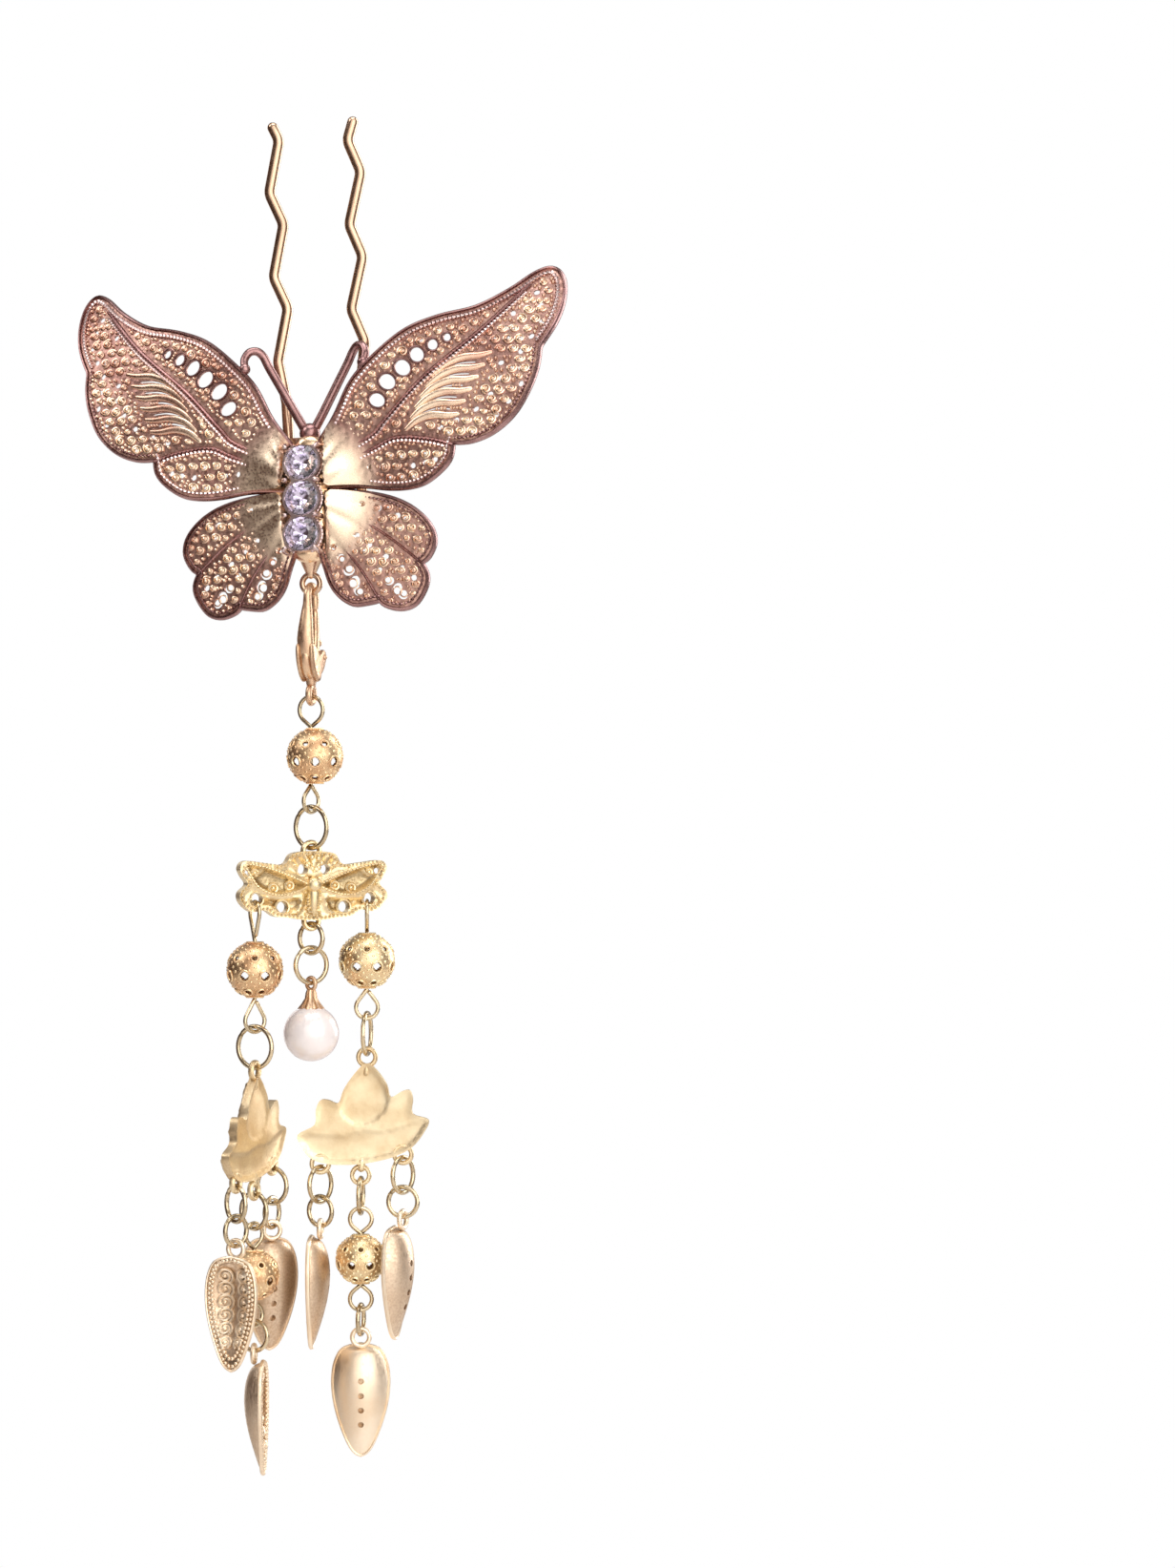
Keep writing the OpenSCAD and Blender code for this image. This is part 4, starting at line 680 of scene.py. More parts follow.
web, rims, beading, filigree = [], [], [], []
for hind, outline, depth, lines, swell, swell_high in (
        (False, fore_outline, fore_depth, [fore_line, lobe_line], 2.9, 1.8),
        (True, hind_outline, hind_depth, hind_lines, 2.0, 0)):
    open_places = sized(hind_gaps, hind_size) if hind else sized(fore_gaps, 0.34)
    keep_out = [sized(np.zeros((1, 2)), 5.2 if hind else 8.0)]
    clear_lines = [(line, 0.3 if hind else 0.42) for line in lines]
    if hind:
        keep_out.append(open_places[open_places[:, 2] > 0.45] + (0, 0, 0.1))
    else:
        keep_out += [sized(costal, costal_size.mean(1) + 0.08), open_places[::3] + (0, 0, 0.06)]
        clear_lines += [(line, 0.42) for line in comb] + [(fore_outline[:lead_end], 0.75)]
    rounds = packed(outline, clear_lines, np.concatenate(keep_out),
        (0.62, 0.62, 0.5, 0.5, 0.42, 0.42, 0.34, 0.34, 0.26, 0.26, 0.2, 0.2, 0.15))

    # The sheet, cut through at the gaps, in the middle of some coils, and at the cells along
    # the leading edge and the comb slits of the forewing.
    coils = rounds[rounds[:, 2] > 0.4]
    holes = [oval(p[:2], p[2], p[2] * 0.85, k * 1.3, 12) for k, p in enumerate(open_places)]
    through = coils[random.uniform(size=len(coils)) < 0.55]
    near = np.linalg.norm(through[:, None, :2] - open_places[None, :, :2], axis=2)
    near = (near - open_places[:, 2]).min(1)
    through = through[near > through[:, 2] * 0.6 + 0.08]
    if not hind:
        heading = np.arctan2(*np.gradient(costal, axis=0).T[::-1])
        cells = list(zip(costal, costal_size, heading))
        holes += [oval(p, *half, t) for p, half, t in cells]
        holes += [strip(ribs(k), slit_wide) for k in range(5)]
        rims += [tube(lifted(oval(p, *(half + 0.06), t, 22), depth, wire_lift), fine_wire, 6,
            True) for p, half, t in cells]
    holes += [circle(p[:2], 0.5 * p[2], 9) for p in through]
    sheet = casting(outline, holes,
        lambda p: depth(p) - half_sheet - pleats(p, swell, swell_high),
        lambda p: depth(p) + half_sheet, 0.36)
    # Towards the body the recess falls below zero, so the web takes its paler highlight colour at
    # the wing roots: a painted highlight.
    reach = np.linalg.norm(sheet[0][:, [0, 2]], axis=1)
    web.append((*sheet, 0.1 - 1.1 * np.clip((8.6 - reach) / 2.6, 0, 1)))

    # The round frame, with a beaded wire inside it, and the veins.
    heading = unit(np.roll(outline, -1, 0) - np.roll(outline, 1, 0))
    inward = np.stack([heading[:, 1], -heading[:, 0]], 1)
    frame_line = evenly(lifted(looped(outline - 0.08 * inward), depth, 0.0), 0.4)[:-1]
    rims.append(tube(frame_line, 0.22, 10, True, 2.3))
    beaded = [(slice(0, None), 0.15, rims)] if hind else [(slice(0, lead_end), 0.28, beading),
        (slice(lead_end, trail_end), 0.15, rims), (slice(trail_end, None), 0.2, beading)]
    for part, wide, kind in beaded:
        inner = (outline + (0.28 + wide) * inward)[part]
        inner = inner[distance(inner, looped(outline)) > 0.2 + wide]
        kind.append(rope(lifted(inner, depth, 0.38), wide, 0.44))
    for line in lines:
        line = evenly(line, 0.4)
        rims.append(tube(lifted(line, depth, 0.0), 0.2 if hind else 0.26, 8, False, 2.0))
        if not hind:
            heading = unit(np.gradient(line, axis=0))
            beside = line + 0.42 * np.stack([heading[:, 1], -heading[:, 0]], 1)
            beading.append(rope(lifted(beside[2:-2], depth, 0.42), 0.24, 0.44))

    # Coils, wire rings round the larger gaps, small rings, and grains in whatever isn't cut.
    for p in coils:
        filigree.append(coil(p[:2], p[2] - 0.06, depth, random.uniform(0, 6.3)))
    for k, p in enumerate(open_places):
        if p[2] > 0.4:
            aside = p[:2] + 0.3 * p[2] * np.array([math.cos(2.3 * k), math.sin(2.3 * k)])
            gap_ring = lifted(circle(aside, 0.68 * p[2], 14), depth, 0.1)
            filigree.append(tube(gap_ring, 0.09, 5, True))
    small = rounds[rounds[:, 2] < 0.4]
    for p in small[small[:, 2] > 0.27]:
        small_ring = lifted(circle(p[:2], p[2] - 0.09, 10), depth, wire_lift)
        filigree.append(tube(small_ring, 0.1, 5, True))
    whole = np.linalg.norm(coils[:, None, :2] - through[None, :, :2], axis=2).min(1) > 0.01
    balls = np.concatenate([small, coils[whole] * (1, 1, 0.3)])
    balls = balls[np.minimum(balls[:, 2], 0.2) > 0.1]
    filigree.append(grains(lifted(balls[:, :2], depth, wire_lift), np.minimum(balls[:, 2], 0.2)))
for line in comb:
    line = evenly(line, 0.3)
    swell = 0.42 * np.sqrt(np.sin(np.linspace(0.3, math.pi - 0.3, len(line))))
    filigree.append(tube(lifted(line, fore_depth, 0.24), swell, 10, False, 0.55))


def placed(parts, sides=(1,)):
    """Parts drawn in the butterfly's frame, placed in the world, on the right side and, where
    the sides ask for it, mirrored on the left."""
    return [(from_butterfly(p[0].reshape(-1, 3) * (side, 1, 1)), *p[1:])
        for side in sides for p in parts]


for name, parts, finish in (("wing_web", web, rose_web), ("wing_rims", rims, rose_rim),
        ("wing_beading", beading, rose_bead), ("wing_filigree", filigree, warm_coil)):
    piece(name, placed(parts, (1, -1)), finish, "pin")

# ---------------------------------------------------------------- body, antennae and tail
# The body is a hollow casting behind the stones, with a bracket soldered to the two legs of
# the pin. The antennae are thick tapered wires curled over at their tips onto the wings.

body_z = np.linspace(6.7, -6.9, 34)
half_wide = 2.5 * np.sqrt(np.clip(1 - np.abs((body_z + 0.1) / 6.85) ** 4, 0.02, 1))
trunk = tube(upright(np.stack([0 * body_z, body_z], 1), 0.35), half_wide, 28, False,
    1.25 / half_wide * np.minimum(1, half_wide / 1.5))
head = grains([(0, 0.6, 6.9)], 1.1, 20, 11)
tail = tube(np.linspace((0, 0.9, -6.2), (0, 0.9, -7.92), 8), np.linspace(1.3, 0.5, 8), 16)
antenna_path = np.array([(0.4, 0.6, 7.1), (1.5, 0.5, 9.0), (3.0, 0.3, 11.7), (4.3, 0.1, 14.0),
    (4.9, 0, 15.2), (5.5, -0.35, 15.75), (6.2, -0.8, 15.6), (6.6, -1.2, 14.8), (6.5, -1.5, 13.9)])
flat_antenna = curve(antenna_path[:, [0, 2]], 5)
antenna_path = upright(flat_antenna, np.interp(np.arange(len(flat_antenna)) / 5,
    np.arange(len(antenna_path)), antenna_path[:, 1]))
antenna = tube(antenna_path, np.linspace(0.5, 0.42, len(antenna_path)), 12)
knob = grains([(6.45, -1.55, 13.7)], 0.6, 14, 8)
# The trunk and tail take the rim's paler highlight colour through a recess below zero: a painted
# highlight.
piece("butterfly_body", placed([antenna, knob], (1, -1))
    + placed([(*trunk, -0.9), (*head, 0.0), (*tail, -0.7)]), rose_rim, "pin")


def ring(middle, radius, wire, count, sides, turn=0.0, thick=1.0):
    """Closed ring of wire: a circle of count points that stands on edge round its middle,
    turned about the plumb line."""
    around = (np.arange(count) * 2 * np.pi / count)[:, None]
    level, across, up = turning(turn, 0, 1)
    path = middle + radius * (np.cos(around) * level + np.sin(around) * up)
    return tube(path, wire, sides, True, thick, across)


tail_loop = ring(from_butterfly(np.array([0, 1, -8.9])), 0.95, 0.32, 40, 12)
sleeve = [(0.69, 0.1), (0.8, 0), (1.2, 0), (1.32, 0.12), (1.32, 4.88), (1.2, 5), (0.8, 5),
    (0.69, 4.9)]
sleeve_side, sleeve_foot = 3.887, -25.9
bracket = [(p[0] @ pin_turn, p[1]) for p in (
    turned(sleeve, (-sleeve_side, 0, sleeve_foot), sides=32),
    turned(sleeve, (sleeve_side, 0, sleeve_foot), sides=32),
    casting(np.array([(-3.7, -25.8), (-3.7, -21.0), (3.7, -21.0), (3.7, -25.8)]), [],
        -3.1, lambda p: -0.75 + 0.5 * (p[:, 0] / 3.7) ** 2, 0.6))]
piece("bracket", [tail_loop] + bracket, pin_gold, "pin", ["butterfly"])

# ---------------------------------------------------------------- stones and their setting
# Three foiled crystals stand one above the other in a strip of cups, cut from one piece of
# plated metal, and four claws bent over each one's edge hold it.

stone_step, claw_step, middle_high, setting_front = 3.75, 3.7, -0.4, -2.3
cup_rim, cup_hole, neck_wide, end_wide = 2.06, 1.72, 1.15, 0.25
stone_places = [(0, middle_high + k * stone_step) for k in (1, 0, -1)]
strip_z = np.linspace(-5.95, 5.15, 60)
nearest = np.min(np.abs(strip_z[:, None] - [z for _, z in stone_places]), axis=1)
scallop = np.maximum(np.sqrt(np.maximum(cup_rim ** 2 - nearest ** 2, 0)),
    np.where(np.abs(strip_z - middle_high) < 4, neck_wide, end_wide))
strip_outline = np.concatenate([np.stack([scallop, strip_z], 1),
    np.stack([-scallop, strip_z], 1)[::-1]])
setting_metal = metal("setting_metal", (0.74, 0.60, 0.58), (0.50, 0.37, 0.36),
    (0.2, 0.13, 0.12), 0.2, 700, 4000, 0.1)
cups = casting(strip_outline, [circle(p, cup_hole, 32) for p in stone_places],
    setting_front, -1.02, 0.4)
floor_plate = casting(strip_outline * (0.97, 0.99), [], -1.3, -1.01, 0.8)
claws = []
for k in (-1.5, -0.5, 0.5, 1.5):
    for side in (-1, 1):
        z = middle_high + k * claw_step
        lean_in = -np.sign(k) * (0.12 if abs(k) > 1 else 0.0)
        claws.append(tube(np.array([(side * 1.82, -1.3, z), (side * 1.82, setting_front, z),
            (side * 1.76, -2.72, z + lean_in), (side * 1.6, -2.92, z + 2 * lean_in)]),
            [0.3, 0.3, 0.28, 0.22], 10, across=(0, 0.3, 1)))
rails = [rope(upright(np.stack([side * (scallop + 0.02), strip_z], 1), -1.75), 0.16, 0.42,
    (1, 0, 0.1)) for side in (-1, 1)]
piece("stone_cups", placed([cups, floor_plate] + claws + rails), setting_metal, "pin",
    ["stone_setting"])


def brilliant(radius, table, crown, pavilion):
    """Round brilliant facing -y: table octagon, star, kite and upper girdle facets, a thin
    girdle, then kites and triangles down to the culet. The rings of the table, the stars, the
    girdle's two edges and the pavilion start at points T, M, G, H and P, and points 56 and 57
    are the table's middle and the culet."""
    def tier(count, share, y, shift):
        turn = (np.arange(count) + shift) * 2 * np.pi / count
        return upright(radius * share * np.stack([np.cos(turn), np.sin(turn)], 1), y)

    points = np.concatenate([tier(8, table, -crown, 0), tier(8, 0.80, -0.52 * crown, 0.5),
        tier(16, 1, 0, 0), tier(16, 1, 0.08, 0), tier(8, 0.62, 0.08 + 0.42 * pavilion, 0.5),
        [[0, -crown, 0], [0, 0.08 + pavilion, 0]]])
    k, n = np.arange(8), (np.arange(8) + 1) % 8
    before = (k - 1) % 8
    T, M, G, H, P = 0, 8, 16, 32, 48
    even, odd, nextup = 2 * k, 2 * k + 1, (2 * k + 2) % 16
    rows = [
        (T + k, T + n, 0 * k + 56, 0 * k + 56), (T + n, T + k, M + k, M + k),
        (T + k, M + before, G + even, M + k),
        (M + k, G + even, G + odd, G + odd), (M + k, G + odd, G + nextup, G + nextup),
        (G + even, H + even, H + odd, G + odd), (G + odd, H + odd, H + nextup, G + nextup),
        (H + even, P + k, H + odd, H + odd), (H + odd, P + k, H + nextup, H + nextup),
        (H + even, P + before, 0 * k + 57, P + k)]
    return points, np.concatenate([np.stack(r, 1) for r in rows])


crystal, shader, feed, add = nodes_of("lilac_crystal")
feed(shader, {"Base Color": (0.95, 0.92, 1.0, 1), "Roughness": 0.02, "IOR": 1.6,
    "Transmission Weight": 1.0, "Metallic": 0.0})
foil = metal("silver_foil", (0.96, 0.93, 1.0), (0.74, 0.69, 0.82), (0.2, 0.18, 0.25), 0.10,
    620, 3000, 0.05)
foils = []
for name, (x, z) in zip(("stone_top", "stone_middle", "stone_bottom"), stone_places):
    points, faces = brilliant(1.86, 0.55, 0.62, 0.72)
    piece(name + "_cut", placed([(points + (x, -2.38, z), faces)]), crystal, "pin",
        [name], crease=0)
    foils.append(turned([(0.001, 0.06), (1.66, -0.72), (1.70, -0.68), (0.001, 0.12)],
        (x, -1.56, z), (0, 1, 0), 16))
piece("stone_foils", placed(foils), foil, "pin", crease=0)

# ---------------------------------------------------------------- clasp and its lever
# A lobster clasp cast in brass and plated in gold hooks the drop on the foot of the tail loop.
# Its lever is a second casting, riveted in a slot, that closes the hook's mouth behind the tip.

tail_loop_foot = np.array([0.757173, -4.29122, -37.2984])
clasp_gold = metal("clasp_gold", (0.82, 0.58, 0.38), (0.64, 0.42, 0.28), (0.26, 0.15, 0.08),
    0.36, 420, 3000, 0.04)


def pillow(outline, middle, half):
    """Lens over a star-shaped outline: rings of it shrunk towards its middle by the cube root
    of the sine of a half turn, and set off its plane by half times that turn's cosine."""
    turn = np.linspace(0, math.pi, 15)[:, None]
    heart = outline.mean(0)
    flat = heart + np.maximum(np.sin(turn) ** 0.34, 0.002)[..., None] * (outline - heart)
    points = np.stack([flat[..., 0], middle - half * np.cos(turn) + 0 * flat[..., 0],
        flat[..., 1]], -1)
    return points, grid_faces(len(turn), len(outline), True)


def lengthwise(parts):
    """Parts drawn in x and z, turned to the plane of y and z and hung on the tail loop."""
    quarter = np.array([[0, 1, 0], [-1, 0, 0], [0, 0, 1]])
    return [(p[0].reshape(-1, 3) @ quarter + tail_loop_foot, *p[1:]) for p in parts]


hook_turn = np.linspace(0, math.pi, 15)
hook_path = np.concatenate([[(1.3, -1.55), (1.3, -1.2), (1.3, -0.9)],
    np.stack([1.3 * np.cos(hook_turn), 1.3 * np.sin(hook_turn) - 0.58], 1),
    [(-1.3, -1.2), (-1.42, -1.9), (-1.62, -2.8), (-1.85, -3.8), (-1.95, -4.8), (-1.75, -6.2),
    (-1.2, -7.4), (-0.62, -8.4)]])
hook_half = np.concatenate([[0.3, 0.36, 0.4], np.full(15, 0.4),
    [0.42, 0.5, 0.56, 0.6, 0.62, 0.62, 0.6, 0.55]])
hook = tube(upright(hook_path), hook_half, 14, False,
    1.0 + 0.45 * np.clip(-hook_path[:, 1] / 5, 0, 1))
jaw = curve([(0.62, -8.6), (1.5, -8.05), (2.15, -7.25), (2.4, -6.6), (2.1, -6.05), (1.35, -5.9),
    (0.5, -6.25), (-0.2, -6.5), (-1.0, -6.2), (-1.6, -5.4), (-2.35, -5.4), (-2.45, -6.3),
    (-2.1, -7.5), (-1.35, -8.6), (-0.5, -9.25), (0.3, -9.2)], 3)
cheeks = [pillow(jaw, side * 0.74, 0.34) for side in (-1, 1)]
spine = pillow(jaw * 0.78 + (-0.42, -1.75), 0.0, 0.6)
rivet = tube(np.array([(1.3, -1.03, -6.7), (1.3, 1.03, -6.7)]), 0.3, 14, across=(0, 0, 1))
neck = tube(np.array([(0, 0, -8.3), (0, 0, -9.0), (0, 0, -9.6)]), [0.75, 0.62, 0.48], 14)
eye = ring((0, 0, -10.6), 0.85, 0.35, 32, 12)
# The cheeks are darkened through their recess: painted shade, as their flat faces catch the key
# light.
piece("clasp_casting",
    lengthwise([hook, spine, rivet, neck, eye] + [(*cheek, 0.4) for cheek in cheeks]),
    clasp_gold, "clasp_body", ["clasp"])
lever_line = curve([(1.35, -7.2), (1.5, -6.3), (1.62, -5.0), (1.5, -3.4), (1.3, -2.2),
    (1.3, -1.83)], 4)
lever_half = np.interp(np.linspace(0, 1, len(lever_line)), [0, 0.2, 0.55, 1],
    [0.5, 0.72, 0.5, 0.3])
blade = tube(upright(lever_line), lever_half, 18, False, np.minimum(1, 0.36 / lever_half))
thumb = grains([(2.35, 0, -5.2)], 0.42, 12, 7)
piece("clasp_blade", lengthwise([blade, thumb]), clasp_gold, "lever", ["clasp_lever"])

# ---------------------------------------------------------------- jump rings and wire eyes
# Rings of round brass wire, cut, closed and plated; the cut shows as a fine dark line. The
# beads are threaded on lengths of thinner wire turned to an eye at each end.

ring_gold = metal("ring_gold", (0.76, 0.63, 0.43), (0.54, 0.44, 0.29), (0.18, 0.12, 0.05), 0.2,
    300, 2000, 0.04)
ring_wire, thin_wire, foot_eye = 0.25, 0.22, 1.15
cut_mark = np.exp(-((np.arange(48) - 19) / 0.55) ** 2)


def middle_of(node):
    """Middle of a node's box, in millimetres."""
    low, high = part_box(node)
    return (np.array(low) + np.array(high)) * 500


for node, turn, outer in (
        ("top_ring", -24, 4.8), ("left_ring", -18, 4.8), ("right_ring", 96, 4.8),
        ("pearl_link", -22, 3.6), ("pearl_ring", 48, 4.2),
        ("left_front_ring", -40, 4.2), ("left_front_link", 64, 3.6),
        ("left_rear_ring", -17, 4.2), ("left_rear_link", 80, 3.6),
        ("right_inner_ring", 70, 4.2), ("right_inner_link", -22, 3.6),
        ("right_outer_ring", 72, 4.2), ("right_outer_link", 4, 3.6),
        ("left_middle_ring", -27, 4.2), ("left_middle_link", -10, 3.6),
        ("right_middle_ring", 100, 4.2), ("right_middle_link", 96, 3.6)):
    points, faces = ring(middle_of(node), outer / 2 - ring_wire,
        ring_wire * (1 - 0.16 * cut_mark), 48, 12, math.radians(turn))
    piece(node + "_wire", [(points, faces, np.repeat(cut_mark, 12))], ring_gold, "drop",
        [node])


def wire_eye(middle, radius, tip, turn):
    """An eye of thin wire standing on edge: straight from its tip to the circle, round it,
    and back. A tip above zero is above the eye."""
    flank = math.asin(radius / abs(tip))
    around = np.linspace(math.pi - flank, 2 * math.pi + flank, 33)
    flat = np.concatenate([[(0, abs(tip))],
        radius * np.stack([np.cos(around), np.sin(around)], 1)])
    flat = np.concatenate([flat, [flat[-1] * 0.25 + (0, abs(tip) * 0.75)]]) * (1, np.sign(tip))
    level, across, up = turning(math.radians(turn), 0, 1)
    path = middle + flat[:, :1] * level + flat[:, 1:] * up
    return tube(evenly(path, 0.18), thin_wire, 10, across=across)


def bead_wire(node, eye_radius, eye_tip, foot_tip, eye_turn, foot_turn):
    """A wire through a bead with an eye at its top and one at its foot. A tip is where the
    wire leaves its eye, that far from the eye's middle."""
    low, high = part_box(node)
    top, foot = middle_of(node), middle_of(node)
    top[2] = high[2] * 1000 - eye_radius - thin_wire
    foot[2] = low[2] * 1000 + foot_eye + thin_wire
    core = np.array([top - (0, 0, eye_tip), (top + foot) / 2, foot + (0, 0, foot_tip)])
    piece(node + "_bent", [wire_eye(top, eye_radius, -eye_tip, eye_turn),
        wire_eye(foot, foot_eye, foot_tip, foot_turn), tube(core, thin_wire, 10)], ring_gold,
        "drop", [node])


bead_wire("top_wire", 1.4, 1.8, 1.7, -12, 66)
bead_wire("left_wire", foot_eye, 2.9, 2.3, -47, 48)
bead_wire("right_wire", foot_eye, 2.1, 1.9, 108, 18)
bead_wire("left_middle_wire", foot_eye, 1.5, 1.5, 60, 60)
bead_wire("right_middle_wire", foot_eye, 1.5, 1.5, 20, 20)

# ---------------------------------------------------------------- filigree beads
# Hollow balls of stamped and pierced brass: a belt of eyelets with raised rims, rosettes of
# grains between them, and a beaded collar round each end hole.

bead_gold = metal("bead_gold", (1.0, 0.78, 0.48), (0.84, 0.54, 0.31), (0.46, 0.25, 0.12), 0.36,
    620, 4000, 0.12)
# A paler copy of the bead gold for the beads on the right, where the key light falls: painted
# light.
lit_bead_gold = metal("lit_bead_gold", (1.0, 0.88, 0.58), (0.96, 0.71, 0.41),
    (0.60, 0.37, 0.18), 0.36, 620, 4000, 0.12)
shell_insets, end_hole, collar_radius = (0.1, 0.38), 0.75, 0.86
golden_turn = math.pi * (3 - math.sqrt(5))


def hung(parts, place, turn, tilt=0.0):
    """Parts drawn in x and z, tilted in their plane, turned about the plumb line and hung at
    a place."""
    tilted = turning(math.radians(-tilt), 0, 2)
    spun = turning(math.radians(turn), 0, 1)
    return [(p[0].reshape(-1, 3) @ tilted @ spun + place, *p[1:]) for p in parts]


def filigree_bead(node, diameter, turn, finish):
    """A pierced ball: a shell of two spheres on one grid of turn and tilt, the squares inside
    each eyelet left out, with wire rims and grains standing on it."""
    radius, rows, columns = diameter / 2, 44, 96
    first = math.asin(end_hole / radius)
    down, around = np.meshgrid(np.linspace(first, math.pi - first, rows),
        np.arange(columns) * 2 * np.pi / columns, indexing="ij")
    skins = [on_ball(radius - inset, down, around).reshape(-1, 3) for inset in shell_insets]
    eighth = np.arange(8)
    eyelets = np.concatenate([
        on_ball(1, math.radians(tilt) + 0 * eighth, (eighth + shift) * math.pi / 4)
        for tilt, shift in ((102, 0), (64, 0.5), (142, 0))])
    open_size = np.repeat([0.165, 0.1, 0.12], 8)
    faces = grid_faces(rows, columns, False)
    near = np.linalg.norm(unit(skins[0][faces].mean(1))[:, None] - eyelets, axis=2)
    faces = faces[(near - open_size).min(1) > 0]
    number = rows * columns
    parts = [(np.concatenate(skins), np.concatenate([faces, faces[:, ::-1] + number,
        walls(faces, number)]), np.repeat([0.5, 0.8], number))]
    ring_turn = (np.arange(18) * 2 * np.pi / 18)[:, None]
    for eyelet, size in zip(eyelets, open_size):
        first_side = unit(np.cross(eyelet, (0.1, 0.2, 0.97)))
        second_side = np.cross(eyelet, first_side)
        rim = unit(eyelet + (size + 0.035) * (np.cos(ring_turn) * first_side
            + np.sin(ring_turn) * second_side))
        parts.append(tube(rim * (radius - 0.1), 0.115, 6, True, across=eyelet))
    around = np.arange(24) * 2 * np.pi / 24
    first = math.asin(collar_radius / radius)
    for tilt in (first, math.pi - first):
        parts.append(grains(on_ball(radius - 0.08, tilt + 0 * around, around), 0.14))
    number = np.arange(260)
    spread = on_ball(1, np.arccos(1 - 2 * (number + 0.5) / 260), number * golden_turn)
    spread = spread[np.abs(spread[:, 2]) < 0.93]
    near = np.linalg.norm(spread[:, None] - eyelets, axis=2) - open_size
    parts.append(grains(spread[near.min(1) > 0.085] * (radius - 0.2), 0.19, 8, 4))
    piece(node + "_filigree", hung(parts, middle_of(node), turn), finish, "drop",
        [node])


for node, diameter, turn, finish in (
        ("top_bead", 6.0, 18.5, bead_gold), ("left_bead", 6.0, 41, bead_gold),
        ("right_bead", 6.0, 40, lit_bead_gold), ("left_middle_bead", 5.4, 15, bead_gold),
        ("right_middle_bead", 5.4, 40, lit_bead_gold)):
    filigree_bead(node, diameter, turn, finish)

# ---------------------------------------------------------------- butterfly plate
# A flat casting, polished bright: a small butterfly with a flower on its head, pierced, with
# beaded edges and a ball at its middle. It spreads the drop into three strands.

plate_gold = metal("plate_gold", (0.93, 0.77, 0.48), (0.80, 0.62, 0.37), (0.30, 0.21, 0.10),
    0.36, 700, 4500, 0.1)
plate_half, plate_rise, plate_turn, plate_thick = 8.1, 3.6, 38, 0.45
plate_eye, pearl_eye, strand_side, strand_drop = 3.6, -3.7, 6.2, -1.35
plate_middle = np.array([*tail_loop_foot[:2], -67.7679])


def both_halves(half):
    """Closed outline from its right half, which runs from the top down to the bottom."""
    return np.concatenate([half, (half * (-1, 1))[::-1][1:-1]])


plate_edge = curve([(0, 1), (0.16, 0.98), (0.30, 0.90), (0.40, 0.62), (0.66, 0.66), (0.92, 0.72),
    (1, 0.52), (0.96, 0.28), (0.90, 0.05), (1, -0.20), (0.98, -0.48), (0.84, -0.74),
    (0.66, -0.70), (0.52, -0.88), (0.30, -0.93), (0.16, -0.98), (0, -1)], 5, plate_half, plate_rise)
plate_outline = both_halves(plate_edge)
plate_wing = curve([(0.06, 0.02), (0.30, 0.26), (0.62, 0.52), (0.92, 0.62), (0.86, 0.30),
    (0.74, -0.05), (0.50, -0.26), (0.24, -0.16), (0.06, 0.02)], 5, plate_half, plate_rise)
lower_wing = curve([(0.16, -0.30), (0.42, -0.36), (0.66, -0.34), (0.86, -0.44), (0.78, -0.60),
    (0.60, -0.58), (0.44, -0.78), (0.22, -0.72), (0.16, -0.30)], 5, plate_half, plate_rise)

# The plate's holes on either side, each as its place and radius. All but the smallest have a
# rim of wire in front.
plate_eyelets = [(0.15 * plate_half, 0.48 * plate_rise, 0.56),
    (0.42 * plate_half, -0.62 * plate_rise, 0.6), (0.89 * plate_half, 0.40 * plate_rise, 0.4),
    (strand_side, strand_drop, 0.6)]
plate_holes = [circle((side * x, z), radius) for side in (-1, 1) for x, z, radius in plate_eyelets]


def carved(p, level, ridges, hollows):
    """Depth of a relief: its ground level, raised along ridges (path, height, width) and sunk
    inside hollows (outline, depth)."""
    height = level + 0 * p[:, 0]
    for outline, sunk in hollows:
        near = distance(p, looped(outline))
        height = np.where(inside(p, outline), height - sunk * np.clip(near / 0.35, 0, 1), height)
    lifts = [high * np.exp(-(distance(p, path) / wide) ** 2) for path, high, wide in ridges]
    return height + np.max(lifts, axis=0)


plate_lines = [(looped(plate_outline), 0.28, 0.4)]
for side in (-1, 1):
    tip_line = curve([(0.66, 0.60), (0.70, 0.42), (0.80, 0.30), (0.90, 0.24)], 5,
        plate_half * side, plate_rise)
    plate_lines += [(plate_wing * (side, 1), 0.45, 0.42), (lower_wing * (side, 1), 0.34, 0.34),
        (tip_line, 0.45, 0.3)]
    for k in range(3):
        petal = [(0, 0.25), (0.05 + 0.09 * k, 0.55), (0.12 + 0.10 * k, 0.86 - 0.06 * k)]
        plate_lines.append((curve(petal, 5, plate_half * side, plate_rise), 0.42, 0.26))
plate_hollows = [(wing * (side, 1), sunk)
    for wing, sunk in ((plate_wing, 0.45), (lower_wing, 0.3)) for side in (-1, 1)]
plate_body = casting(plate_outline, plate_holes,
    lambda p: -plate_thick - carved(p, 0.12, plate_lines, plate_hollows), plate_thick, 0.24)
plate_depth = plate_body[0][:, 1]
plate_parts = [(*plate_body, np.clip((plate_depth + 0.6) / 0.45, 0, 0.8) * (plate_depth < 0)),
    ring((0, 0, plate_eye), 0.9, 0.27, 28, 10, thick=1.5),
    ring((0, 0, pearl_eye), 0.8, 0.27, 28, 10, thick=1.5)]
